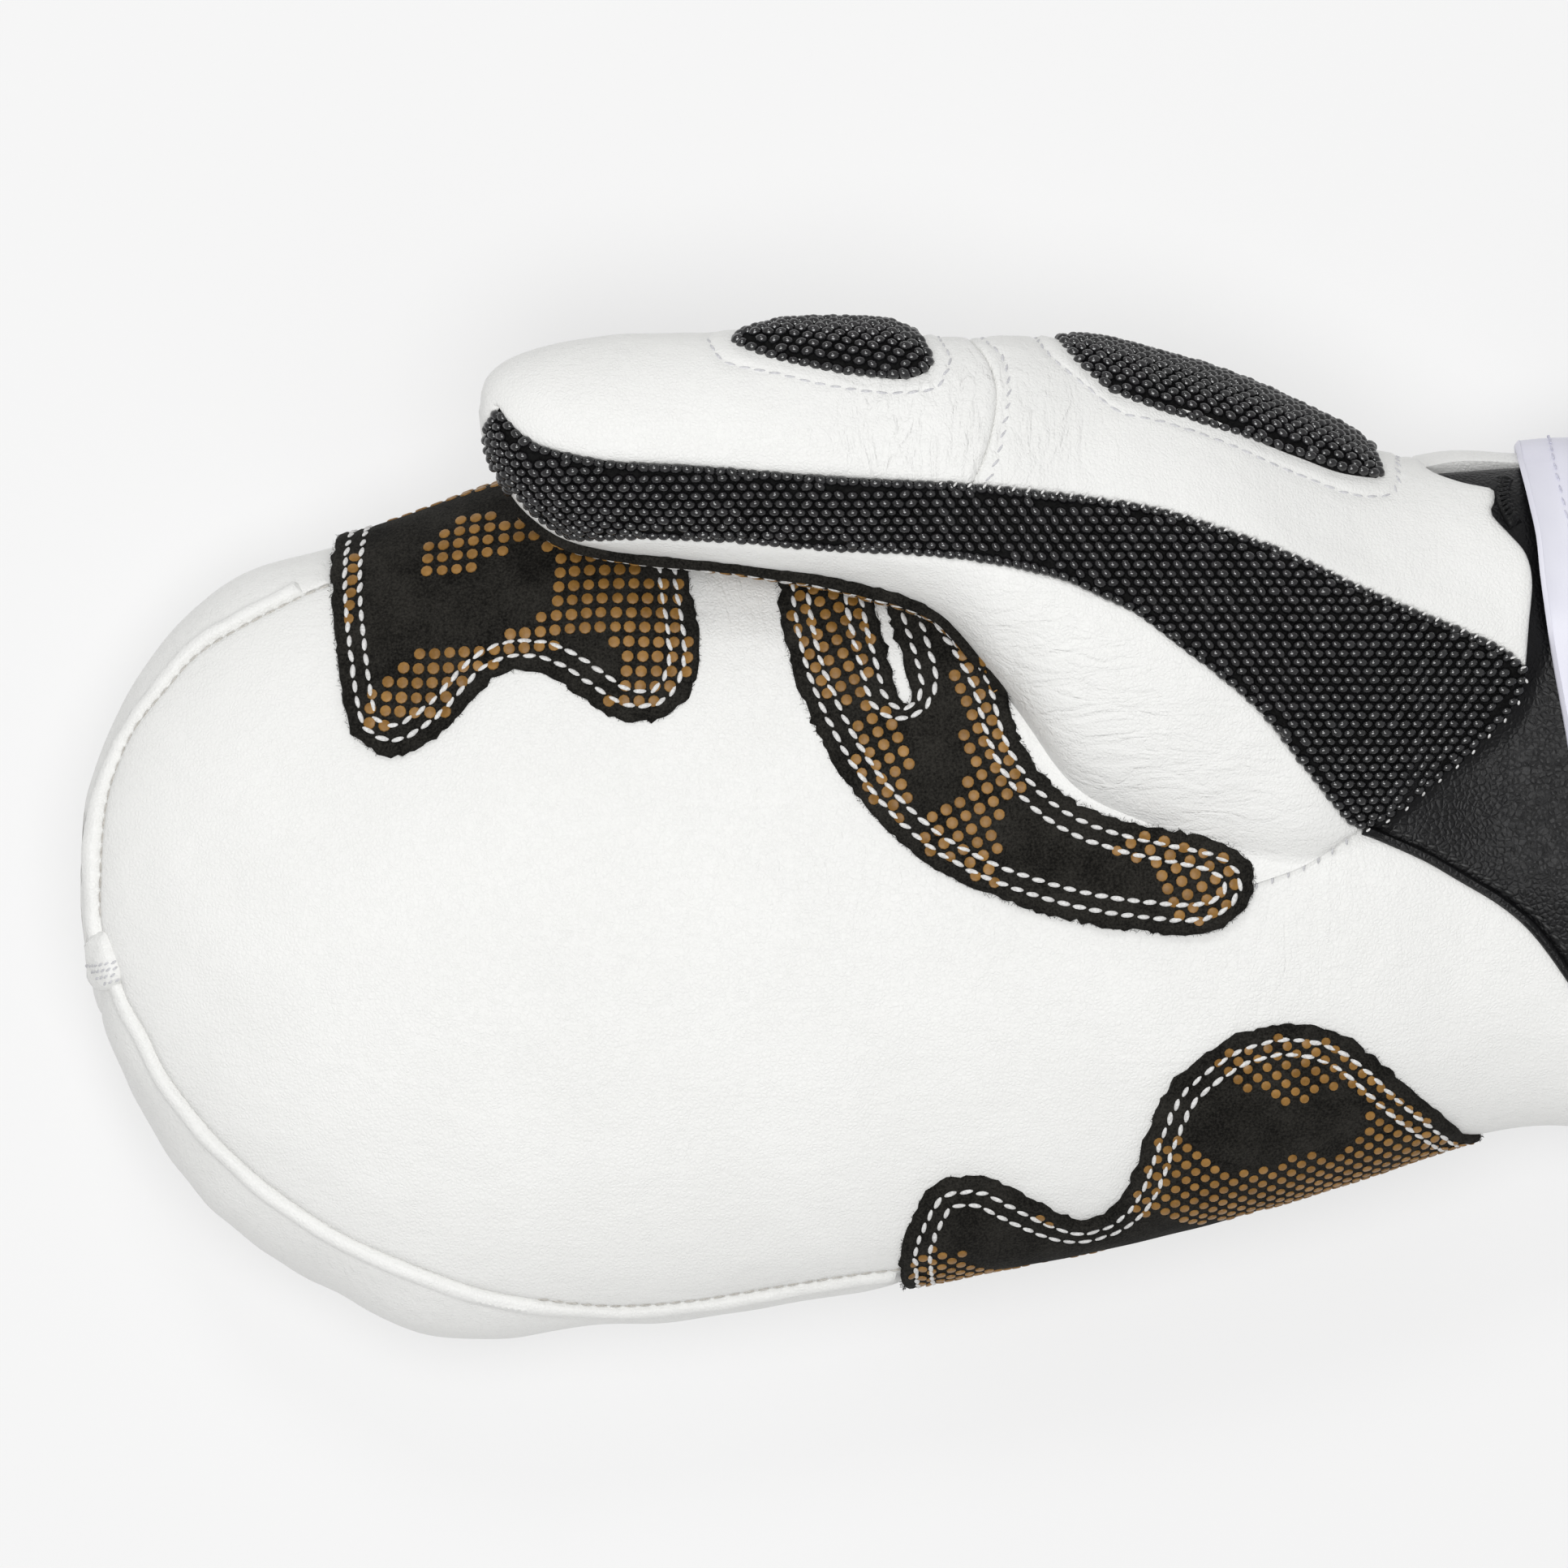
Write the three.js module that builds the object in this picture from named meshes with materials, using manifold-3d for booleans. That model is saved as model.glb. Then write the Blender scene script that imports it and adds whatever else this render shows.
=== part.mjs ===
// Right-hand ski racing mitten, lying on the back of the hand with its palm up.
// Two hollow skins, the hand and the thumb, are lofted through cross-sections and cut
// along the sewn seams into leather panels. The suede grips, the seam welt, the piping
// and the wrist strap are thin layers that lie on those skins. Millimetres, +Z up,
// fingertip towards -X, thumb towards +Y.
import * as THREE from 'three';
import { mergeVertices } from 'three/addons/utils/BufferGeometryUtils.js';
import Module from 'manifold-3d';

const wasm = await Module();
wasm.setup();
const { Manifold, Mesh: SolidMesh } = wasm;

// Driving dimensions
const WALL = 3;            // leather, padding and inner fabric together
const SEAM_GAP = 0.3;      // between two pieces that are sewn together
const SUEDE = 1.2;         // thickness of a suede grip
const WELT_WIDTH = 2.4;    // the turned seam round the fingertips
const WELT_HEIGHT = 1.3;
const PAD_RISE = 1.6;      // how far the padded mesh inserts stand proud
const PIPING_WIDTH = 1.8;
const STRAP_WIDTH = 31;
const STRAP_THICKNESS = 1.9;
const BINDING_WIDTH = 9.5;
const BINDING_THICKNESS = 2.6;
const CUFF_END = 279;      // from the fingertip to the mouth of the cuff
const CUFF_START = 243;    // where the palm and the back are sewn to the cuff, under the strap
const RIM_WIDTH = 5;
// The middle of the whole glove's footprint, measured from the fingertip and the palm's middle line.
const ORIGIN = { x: 138.8, y: 0.05 };

// Hand cross-sections. x runs from the fingertip to the cuff, low and high are the edges
// on the little finger's and the thumb's side, and crown, waist and base are the heights
// of the palm, of the widest line and of the back of the hand.
const HAND = [
  { x: 0, low: -5, high: -4, crown: 20.5, waist: 20, base: 19.5 },
  { x: 0.5, low: -14.5, high: 4.2, crown: 27, waist: 20, base: 13 },
  { x: 2.1, low: -25.5, high: 9.5, crown: 33, waist: 20, base: 8 },
  { x: 5.1, low: -34.5, high: 16.4, crown: 37, waist: 20.5, base: 4.5 },
  { x: 9.3, low: -43.3, high: 24.3, crown: 40, waist: 21, base: 2 },
  { x: 15.5, low: -53.3, high: 32, crown: 43, waist: 21.5, base: 0 },
  { x: 25.5, low: -62.6, high: 39.5, crown: 46, waist: 22, base: -1 },
  { x: 38, low: -70.8, high: 44, crown: 48, waist: 22.5, base: -1.5 },
  { x: 50.5, low: -76.6, high: 47.6, crown: 49.5, waist: 23, base: -1.5 },
  { x: 65.5, low: -78.4, high: 53, crown: 50.5, waist: 23.5, base: -1.5 },
  { x: 80.5, low: -76.6, high: 55.8, crown: 51, waist: 24, base: -1.5 },
  { x: 98, low: -75, high: 56.8, crown: 51, waist: 24, base: -1.5 },
  { x: 118, low: -71.6, high: 57.1, crown: 51.5, waist: 24, base: -1.5 },
  { x: 138, low: -67.5, high: 57.1, crown: 52, waist: 24.5, base: -1.5 },
  { x: 158, low: -63.7, high: 57.1, crown: 52.5, waist: 25, base: -1.5 },
  { x: 178, low: -58.7, high: 57.1, crown: 52.5, waist: 25, base: -1 },
  { x: 198, low: -52.6, high: 57.1, crown: 51, waist: 25, base: 1 },
  { x: 215.5, low: -47, high: 57.8, crown: 49, waist: 25.5, base: 3 },
  { x: 229.5, low: -45.6, high: 58.9, crown: 49, waist: 26, base: 3.2 },
  { x: 248, low: -48.5, high: 60, crown: 51, waist: 27, base: 3.2 },
  { x: 266, low: -51, high: 61.2, crown: 53.5, waist: 27.6, base: 3.2 },
  { x: CUFF_END, low: -53, high: 62, crown: 56, waist: 28, base: 1.6 },
];
const HAND_ROUNDNESS = { over: 2.25, under: 2.6 };

// Thumb cross-sections, with the same columns. Its root sinks into the hand.
const THUMB = [
  { x: 61.8, low: 63.7, high: 64.7, crown: 53.5, waist: 53, base: 52.5 },
  { x: 62.3, low: 60, high: 68, crown: 58, waist: 53, base: 48 },
  { x: 63.5, low: 56.4, high: 70.2, crown: 61.5, waist: 53, base: 45 },
  { x: 65.6, low: 52.8, high: 71.8, crown: 64, waist: 53, base: 42.5 },
  { x: 69.3, low: 48.4, high: 73.4, crown: 66.2, waist: 53, base: 40 },
  { x: 75.5, low: 44.5, high: 75.1, crown: 67.6, waist: 53, base: 38.5 },
  { x: 84.3, low: 42.4, high: 76.6, crown: 68, waist: 53, base: 37.8 },
  { x: 95.5, low: 41.2, high: 76.8, crown: 68, waist: 53, base: 37.5 },
  { x: 108, low: 39.6, high: 76.4, crown: 68, waist: 53, base: 37 },
  { x: 120.5, low: 37, high: 76.2, crown: 68, waist: 52.5, base: 36 },
  { x: 133, low: 32.5, high: 76, crown: 68, waist: 51.5, base: 33 },
  { x: 143, low: 20, high: 76, crown: 67.5, waist: 48, base: 29 },
  { x: 153, low: 4, high: 75.3, crown: 66.5, waist: 44, base: 25 },
  { x: 165.5, low: -3, high: 72.3, crown: 65.5, waist: 41, base: 21 },
  { x: 178, low: -9, high: 68.5, crown: 63.5, waist: 38, base: 19 },
  { x: 190.5, low: -13, high: 63, crown: 61, waist: 35, base: 18 },
  { x: 201, low: -10, high: 58.5, crown: 58, waist: 33, base: 18 },
  { x: 212, low: -2, high: 57.5, crown: 54.5, waist: 31, base: 18 },
  { x: 228, low: 4, high: 57.5, crown: 50.5, waist: 30, base: 18 },
];
const THUMB_ROUNDNESS = { over: 2.1, under: 2.1 };

// A value between two rows, on a smooth curve through the rows.
function column(rows, name, t) {
  const last = rows.length - 1;
  const i = Math.min(Math.floor(t), last - 1);
  const f = t - i;
  const at = (k) => rows[Math.max(0, Math.min(last, k))][name];
  const [a, b, c, d] = [at(i - 1), at(i), at(i + 1), at(i + 2)];
  return b + 0.5 * f * (c - a + f * (2 * a - 5 * b + 4 * c - d + f * (3 * (b - c) + d - a)));
}

const power = (value, exponent) => Math.sign(value) * Math.abs(value) ** exponent;

// One point of a skin: t counts rows, angle 0 faces the thumb's side and 90 degrees the palm.
// grow is the distance outside the skin, or inside it if negative. No point lies below the floor.
function skinPoint(rows, roundness, t, angle, grow) {
  const get = (name) => column(rows, name, t);
  const [cos, sin] = [Math.cos(angle), Math.sin(angle)];
  const round = sin > 0 ? roundness.over : roundness.under;
  const middle = (get('low') + get('high')) / 2;
  const half = Math.max((get('high') - get('low')) / 2 + grow, 0.2);
  const reach = sin > 0 ? get('crown') - get('waist') : get('waist') - get('base');
  const x = get('x') - grow * Math.exp((rows[0].x - get('x')) / 8);
  const z = get('waist') + Math.max(reach + grow, 0.2) * power(sin, 2 / round);
  return [x, middle + half * power(cos, 2 / round), Math.max(z, -grow, 0)];
}

function solidFrom(positions, triangles) {
  return new Manifold(new SolidMesh({
    numProp: 3,
    vertProperties: new Float32Array(positions),
    triVerts: new Uint32Array(triangles),
  }));
}

// A closed solid through all cross-sections, with a pole at the tip and a flat end.
function loft(rows, roundness, grow, rings, around, runOut = 0) {
  const positions = [...skinPoint(rows, roundness, 0, 0, grow)];
  const triangles = [];
  const vertex = (ring, k) => 1 + (ring - 1) * around + (k % around);
  for (let ring = 1; ring <= rings; ring++) {
    for (let k = 0; k < around; k++) {
      const angle = (2 * Math.PI * k) / around;
      const [x, y, z] = skinPoint(rows, roundness, (ring / rings) * (rows.length - 1), angle, grow);
      positions.push(ring === rings ? x + runOut : x, y, z);
    }
  }
  const end = positions.length / 3;
  const lastRing = Array.from({ length: around }, (_, k) => 3 * vertex(rings, k));
  positions.push(positions[lastRing[0]], 0, 0);
  for (const axis of [1, 2]) {
    positions[3 * end + axis] = lastRing.reduce((sum, p) => sum + positions[p + axis], 0) / around;
  }
  for (let k = 0; k < around; k++) {
    triangles.push(0, vertex(1, k + 1), vertex(1, k));
    for (let ring = 1; ring < rings; ring++) {
      const [a, b] = [vertex(ring, k), vertex(ring, k + 1)];
      const [c, d] = [vertex(ring + 1, k), vertex(ring + 1, k + 1)];
      triangles.push(a, b, c, b, d, c);
    }
    triangles.push(end, vertex(rings, k), vertex(rings, k + 1));
  }
  return solidFrom(positions, triangles);
}

// Tools that cut panels out of the skins

function curve(points, samples) {
  const spline = new THREE.SplineCurve(points.map(([x, y]) => new THREE.Vector2(x, y)));
  return spline.getPoints(samples);
}

// Moves a closed outline outwards, or inwards if the distance is negative.
function offsetOutline(outline, distance) {
  const turn = THREE.ShapeUtils.isClockWise(outline) ? -1 : 1;
  return outline.map((point, i) => {
    const before = outline[(i + outline.length - 1) % outline.length];
    const after = outline[(i + 1) % outline.length];
    const along = after.clone().sub(before).normalize();
    return new THREE.Vector2(point.x + turn * distance * along.y, point.y - turn * distance * along.x);
  });
}

function solidOf(geometry) {
  geometry.deleteAttribute('normal');
  geometry.deleteAttribute('uv');
  const merged = mergeVertices(geometry, 1e-4);
  return solidFrom(merged.attributes.position.array, merged.index.array);
}

// An upright prism over an outline seen from above.
function prism(outline, grow = -SEAM_GAP / 2, from = -20, to = 120) {
  const shape = new THREE.Shape(offsetOutline(outline, grow));
  const geometry = new THREE.ExtrudeGeometry(shape, { depth: to - from, bevelEnabled: false });
  return solidOf(geometry.translate(0, 0, from));
}

// A prism that runs across the hand over an outline in x and height.
function sidePrism(points) {
  const shape = new THREE.Shape(points.map(([x, z]) => new THREE.Vector2(x, z)));
  const geometry = new THREE.ExtrudeGeometry(shape, { depth: 300, bevelEnabled: false });
  return solidOf(geometry.rotateX(Math.PI / 2).translate(0, 150, 0));
}

const corners = (...points) => points.map(([x, y]) => new THREE.Vector2(x, y));

// Seam lines, seen from above, as x from the fingertip and y from the palm's middle line.
const TIP_SEAM = curve([
  [38.6, 38.6], [25.5, 32.4], [13, 22.4], [4.9, 9.3], [2.9, -5.8], [3.2, -15.5], [6.8, -26], [13, -37.6],
  [25.5, -52], [40.5, -62.6], [61.8, -71.1], [83, -73.6], [106.8, -71], [126.8, -68.1],
], 28);
const WRIST_SEAM = curve([[198, 0.3], [208, -4.1], [219.3, -10.8], [229.5, -22], [237, -35], [241.8, -49.5]], 8);
const STRIPE_TOP = curve([
  [64.5, 65.3], [69.9, 59.6], [83, 56.5], [106.8, 54.9], [131.8, 53.4], [156.8, 51], [175.5, 46.6],
  [200.5, 36.1], [213, 31], [223, 24.9],
], 16);
const STRIPE_END = curve([[223, 24.9], [217.4, 15.1], [208, 6.8], [203, 2.6], [198, 0.3]], 6);
const STRIPE_BOTTOM = curve([
  [196.1, 0.3], [188, 10.9], [175.5, 24], [163, 33.4], [150.5, 39], [138, 41.5], [113, 43.4],
  [88, 45.1], [75.5, 45], [69.3, 49.2], [65.2, 54.2], [62.8, 59],
], 18);
const KNUCKLE_SEAM = curve([[137.6, 53.2], [140.5, 60.5], [141.6, 66.5], [139.9, 73], [136.8, 75.9]], 6);
const THUMB_END = curve([
  [223, 24.9], [224, 38.6], [223, 43], [217.8, 49.3], [218.6, 52.4], [213, 54.3], [208.6, 56],
], 9);

const PALM_AREA = [
  ...TIP_SEAM, ...corners([126.8, -100], [241.8, -100]), ...WRIST_SEAM.slice().reverse(),
  ...corners([198, 90], [60, 90], [44, 47]),
];
const GUSSET_AREA = [
  ...TIP_SEAM.slice(11), ...corners([126.8, -100], [-20, -100], [-20, TIP_SEAM[11].y]),
];
const WRIST_AREA = [...WRIST_SEAM, ...corners(
  [300, -49.5], [300, 60.5], [250, 58.2], [229.5, 57], [206, 55.4], [212, 30], [204, 8])];
const THUMB_AREA = [...STRIPE_END.slice().reverse(), ...THUMB_END.slice(1), ...corners(
  [206, 90], [50, 90], [50, -30], [190, -30])];
const THUMB_TIP_AREA = [
  ...STRIPE_TOP.filter((p) => p.x < KNUCKLE_SEAM[0].x - 2), ...KNUCKLE_SEAM,
  ...corners([134, 95], [50, 95], [50, 66.5], [61, 66.5]),
];
const THUMB_BASE_AREA = [
  ...STRIPE_TOP.filter((p) => p.x > KNUCKLE_SEAM[0].x + 2), ...corners([240, 30], [240, 95], [134, 95]),
  ...KNUCKLE_SEAM.slice().reverse(),
];
const STRIPE_AREA = [...STRIPE_TOP, ...STRIPE_END.slice(1), ...STRIPE_BOTTOM, ...corners([55, 59], [55, 65])];
const KNUCKLE_PAD_AREA = [...curve([
  [100.3, 75.1], [108.6, 71.5], [120.5, 69.3], [129.3, 69.5], [131.8, 72], [128.6, 76.8],
], 10), ...corners([127, 90], [103, 90], [101.2, 77])];
const BASE_PAD_AREA = [...curve([
  [150.5, 75.9], [156.1, 69.5], [163, 65.4], [175.5, 61.3], [188, 57.4], [199.3, 54.3], [201.3, 55],
  [199.3, 58.9],
], 12), ...corners([197, 80], [149, 90])];
const INDEX_PATCH_AREA = [...corners([93.5, 80], [40.5, 60]), ...curve([
  [39.4, 45.3], [39, 36], [40.8, 20.5], [43.9, 13.3], [49.4, 11.2], [57.5, 16.5], [63.6, 23.3], [69.3, 24.6],
  [78, 20.3], [86.8, 16.8], [93.6, 20.3], [95.6, 29.9], [94, 41],
], 22)];
const CROTCH_PATCH_AREA = [...curve([
  [107.5, 48], [108.4, 31.8], [113.4, 16.1], [123.6, 1.1], [138, -8.9], [155.5, -14.3], [171.1, -15.9],
  [179.5, -12], [180.6, -5.5], [171.8, -0.5], [156.8, 3.1], [147, 10.9], [143, 21.8], [140.8, 27],
], 22), ...corners([136, 34], [128, 48])];
const CROTCH_SLOT_AREA = [...curve([
  [122.4, 44], [122.8, 34.9], [125.3, 24.9], [127, 19.8], [128.3, 20.8], [127.4, 26], [125.2, 35],
], 7), ...corners([125, 44])];
const HEEL_PATCH_AREA = [...corners([218, -90], [127.8, -90]), ...curve([
  [127.6, -70.5], [126.6, -63.5], [131.1, -55.1], [138, -53], [145.5, -56], [154.3, -59.8], [159.3, -58],
  [163.6, -49.5], [168, -39.5], [178, -31.6], [189.3, -29.8], [200.5, -35.3], [208, -42.1], [215.5, -46.9],
], 22)];
const SEAM_TAB_AREA = corners([-4, -16.5], [4, -16.5], [6.3, -22.5], [2.5, -24], [-4, -24]);

// A slanted band round the wrist, between two distances from the strap's front edge.
function strapBand(from, to) {
  const front = [[217.5, 75], [219.3, 57.4], [222.6, 41.8], [226.2, 28], [229.5, 10.5], [233, -12], [235.5, -75]];
  const back = front.map(([x, y]) => [x + to, y]);
  return corners(...front.map(([x, y]) => [x + from, y]), ...back.reverse());
}

// The band just outside a seam line, or inside it if the width is negative.
function weltBand(seam, width) {
  const outside = seam.map((point, i) => {
    const along = seam[Math.min(i + 1, seam.length - 1)].clone().sub(seam[Math.max(i - 1, 0)]).normalize();
    return new THREE.Vector2(point.x + width * along.y, point.y - width * along.x);
  });
  return [...seam, ...outside.reverse()];
}

// The two skins and what is left of them after each is opened into the other
const hand = (grow) => (grow < 0
  ? loft(HAND, HAND_ROUNDNESS, grow, 15, 18, 4)
  : loft(HAND, HAND_ROUNDNESS, grow, 22, 26));
const thumb = (grow) => (grow < 0
  ? loft(THUMB, THUMB_ROUNDNESS, grow, 12, 14)
  : loft(THUMB, THUMB_ROUNDNESS, grow, 18, 18));
const handOuter = hand(0);
const handInner = hand(-WALL);
const thumbRegion = prism(THUMB_AREA);
const thumbOuter = thumb(0).intersect(thumbRegion);
const thumbInner = thumb(-WALL).intersect(thumbRegion.translate([-WALL, 0, 0]));
const thumbClear = thumb(SEAM_GAP).intersect(prism(THUMB_AREA, SEAM_GAP / 2));
const handSkin = handOuter.subtract(handInner).subtract(thumbClear);
const thumbSkin = thumbOuter.subtract(thumbInner).subtract(handInner);

// Heights down to which the pieces of the palm's side reach, from the side
const above = (...line) => sidePrism([...line, [line.at(-1)[0], 120], [line[0][0], 120]]);
const palmSide = above([-30, 14], [130, 14], [150, 20], [330, 20]);
const gussetSide = above([-30, 9], [330, 9]);
const gripSide = above([-30, 12], [330, 12]);
const palmHalf = above([-30, 20], [330, 20]);
const upperThumb = above([50, 50.5], [128, 50.5], [145, 38], [160, 26], [260, 24]);
const across = (from, to) => sidePrism([[from, -20], [to, -20], [to, 120], [from, 120]]);
const lowered = (solid) => solid.translate([0, 0, -SEAM_GAP]);

// Layers that lie on the skins
const onHand = (thickness) => hand(SEAM_GAP + thickness).subtract(hand(SEAM_GAP)).subtract(thumbClear);
const suede = onHand(SUEDE).intersect(gripSide);
const thumbSuede = thumb(SEAM_GAP + SUEDE).subtract(thumb(SEAM_GAP)).subtract(hand(SEAM_GAP + SUEDE));
const strapBandOf = (from, to, thickness) => onHand(thickness).intersect(prism(strapBand(from, to)));


const palm = handSkin.intersect(prism(PALM_AREA)).intersect(palmSide);
const wristPanel = handSkin.intersect(prism(WRIST_AREA)).intersect(palmSide).intersect(across(150, CUFF_START));
const gusset = handSkin.intersect(prism(GUSSET_AREA)).intersect(gussetSide);
const back = handSkin
  .intersect(across(-30, CUFF_START))
  .subtract(prism(PALM_AREA, SEAM_GAP / 2).intersect(lowered(palmSide)))
  .subtract(prism(WRIST_AREA, SEAM_GAP / 2).intersect(lowered(palmSide)))
  .subtract(prism(GUSSET_AREA, SEAM_GAP / 2).intersect(lowered(gussetSide)));
const gauntlet = handSkin.intersect(across(CUFF_START + SEAM_GAP, CUFF_END - RIM_WIDTH));
const rim = hand(1.2)
  .subtract(hand(-WALL - 0.8))
  .intersect(across(CUFF_END - RIM_WIDTH + SEAM_GAP, CUFF_END + 5));

const thumbTip = thumbSkin.intersect(prism(THUMB_TIP_AREA)).subtract(prism(KNUCKLE_PAD_AREA, SEAM_GAP / 2));
const thumbBase = thumbSkin.intersect(prism(THUMB_BASE_AREA)).subtract(prism(BASE_PAD_AREA, SEAM_GAP / 2));
const stripe = thumbSkin.intersect(prism(STRIPE_AREA)).intersect(upperThumb);
const thumbUnder = thumbSkin
  .subtract(prism(THUMB_TIP_AREA, SEAM_GAP / 2))
  .subtract(prism(THUMB_BASE_AREA, SEAM_GAP / 2))
  .subtract(prism(STRIPE_AREA, SEAM_GAP / 2).intersect(lowered(upperThumb)));
const paddedSkin = thumb(PAD_RISE).subtract(thumbInner).subtract(handOuter);

const COLOURS = {
  whiteLeather: { color: 0xf1f0ec, roughness: 0.5 },
  blackLeather: { color: 0x17181a, roughness: 0.48 },
  blackMesh: { color: 0x141415, roughness: 0.35 },
  blackSuede: { color: 0x1b1a18, roughness: 0.95 },
  whiteFabric: { color: 0xe9e8f2, roughness: 0.7 },
};

const glove = new THREE.Group();

function addPiece(name, colour, solid) {
  const { vertProperties, triVerts } = solid.getMesh();
  const geometry = new THREE.BufferGeometry();
  geometry.setAttribute('position', new THREE.BufferAttribute(new Float32Array(vertProperties), 3));
  geometry.setIndex(new THREE.BufferAttribute(new Uint32Array(triVerts), 1));
  geometry.computeVertexNormals();
  const piece = new THREE.Mesh(geometry, new THREE.MeshStandardMaterial({ metalness: 0, ...COLOURS[colour] }));
  piece.name = name;
  piece.position.set(-ORIGIN.x, -ORIGIN.y, 0);
  glove.add(piece);
}

// Hand panels
addPiece('back_panel', 'whiteLeather', back);
addPiece('palm_panel', 'whiteLeather', palm);
addPiece('edge_gusset', 'whiteLeather', gusset);
addPiece('wrist_panel', 'blackLeather', wristPanel);

// Thumb panels and its mesh inserts
addPiece('thumb_tip_panel', 'whiteLeather', thumbTip);
addPiece('thumb_base_panel', 'whiteLeather', thumbBase);
addPiece('thumb_under_panel', 'whiteLeather', thumbUnder);
addPiece('thumb_stripe', 'blackMesh', stripe);
addPiece('knuckle_pad', 'blackMesh', paddedSkin.intersect(prism(KNUCKLE_PAD_AREA)));
addPiece('thumb_base_pad', 'blackMesh', paddedSkin.intersect(prism(BASE_PAD_AREA)));

// Suede grips, which lie on the panels
const indexPatch = suede.intersect(prism(INDEX_PATCH_AREA));
const crotchPatch = suede.intersect(prism(CROTCH_PATCH_AREA)).subtract(prism(CROTCH_SLOT_AREA, 0));
const heelPatch = suede.intersect(prism(HEEL_PATCH_AREA));
const thumbGrip = thumbSuede
  .intersect(prism(corners([67, -20], [140, -20], [140, 62], [67, 62])))
  .subtract(above([50, 51], [150, 51]));
addPiece('index_patch', 'blackSuede', indexPatch);
addPiece('crotch_patch', 'blackSuede', crotchPatch);
addPiece('heel_patch', 'blackSuede', heelPatch);
addPiece('thumb_grip', 'blackSuede', thumbGrip);

// Seam welt round the fingertips with its bar-tacked end, and the piping of the palm's edge
const edgeWelt = onHand(WELT_HEIGHT)
  .intersect(prism(weltBand(TIP_SEAM, WELT_WIDTH)))
  .add(onHand(WELT_HEIGHT + 0.5).intersect(prism(SEAM_TAB_AREA)))
  .intersect(palmHalf)
  .subtract(prism(INDEX_PATCH_AREA, SEAM_GAP / 2))
  .subtract(prism(HEEL_PATCH_AREA, SEAM_GAP / 2));
const piping = onHand(1)
  .intersect(prism(weltBand(WRIST_SEAM, PIPING_WIDTH)))
  .intersect(palmHalf)
  .subtract(prism(strapBand(0, 60), SEAM_GAP / 2));
addPiece('edge_welt', 'whiteLeather', edgeWelt);
addPiece('wrist_piping', 'blackLeather', piping);

// Wrist strap with its bound edges, and the cuff
addPiece('strap_front_binding', 'whiteFabric', strapBandOf(0, BINDING_WIDTH, BINDING_THICKNESS));
addPiece('strap_body', 'blackLeather', strapBandOf(BINDING_WIDTH, STRAP_WIDTH, STRAP_THICKNESS));
addPiece('strap_rear_binding', 'whiteFabric', strapBandOf(STRAP_WIDTH, STRAP_WIDTH + 4, BINDING_THICKNESS));
addPiece('cuff_gauntlet', 'blackLeather', gauntlet);
addPiece('cuff_rim', 'blackLeather', rim);

export default glove;
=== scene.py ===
"""A ski racing mitten for the right hand, lying on its back, palm up, with its thumb towards +Y.

The glove is drawn in millimetres on its pattern: x from the fingertip towards the cuff, y from the
palm's middle line towards the thumb, z up from the surface that it lies on.
"""

import bmesh
import bpy
import numpy as np
from mathutils import Matrix, Vector
from mathutils.geometry import delaunay_2d_cdt


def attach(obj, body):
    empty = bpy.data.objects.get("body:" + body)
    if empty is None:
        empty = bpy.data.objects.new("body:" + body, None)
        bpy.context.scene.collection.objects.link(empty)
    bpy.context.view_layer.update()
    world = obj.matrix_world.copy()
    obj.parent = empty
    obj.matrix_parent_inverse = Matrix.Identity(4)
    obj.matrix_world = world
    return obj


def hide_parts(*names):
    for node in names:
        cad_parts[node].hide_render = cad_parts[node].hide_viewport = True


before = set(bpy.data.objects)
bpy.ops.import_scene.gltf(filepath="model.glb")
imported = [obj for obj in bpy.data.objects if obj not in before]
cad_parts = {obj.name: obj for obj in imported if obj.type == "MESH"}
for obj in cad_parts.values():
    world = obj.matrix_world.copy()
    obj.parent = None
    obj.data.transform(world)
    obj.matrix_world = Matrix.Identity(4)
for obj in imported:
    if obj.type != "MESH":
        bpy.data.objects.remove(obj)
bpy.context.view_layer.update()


# Palm: white goatskin in one piece from the fingertips to the wrist, drawn over the padded hand. It is
# sewn to the side wall in a raised seam, to the back beside the thumb and to the wrist's black leather.

# A row of the hand's form: x, the edge on the little finger's side, the edge on the thumb's side, and
# the heights of the palm, of the widest line and of the back.
HAND_SECTIONS = np.array([
    (0, -5, -4, 20.5, 20, 19.5), (0.5, -14.5, 4.2, 27, 20, 13), (2.1, -25.5, 9.5, 33, 20, 8),
    (5.1, -34.5, 16.4, 37, 20.5, 4.5), (9.3, -43.3, 24.3, 40, 21, 2), (15.5, -53.3, 32, 43, 21.5, 0),
    (25.5, -62.6, 39.5, 46, 22, -1), (38, -70.8, 44, 48, 22.5, -1.5), (50.5, -76.6, 47.6, 49.5, 23, -1.5),
    (65.5, -78.4, 53, 50.5, 23.5, -1.5), (80.5, -76.6, 55.8, 51, 24, -1.5), (98, -75, 56.8, 51, 24, -1.5),
    (118, -71.6, 57.1, 51.5, 24, -1.5), (138, -67.5, 57.1, 52, 24.5, -1.5), (158, -63.7, 57.1, 52.5, 25, -1.5),
    (178, -58.7, 57.1, 52.5, 25, -1), (198, -52.6, 57.1, 51, 25, 1), (215.5, -47, 57.8, 49, 25.5, 3),
    (229.5, -45.6, 58.9, 49, 26, 3.2), (248, -48.5, 60, 51, 27, 3.2), (266, -51, 61.2, 53.5, 27.6, 3.2),
    (279, -53, 62, 56, 28, 1.6),
], float)
HAND_ROUNDNESS = (2.25, 2.6)


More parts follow.
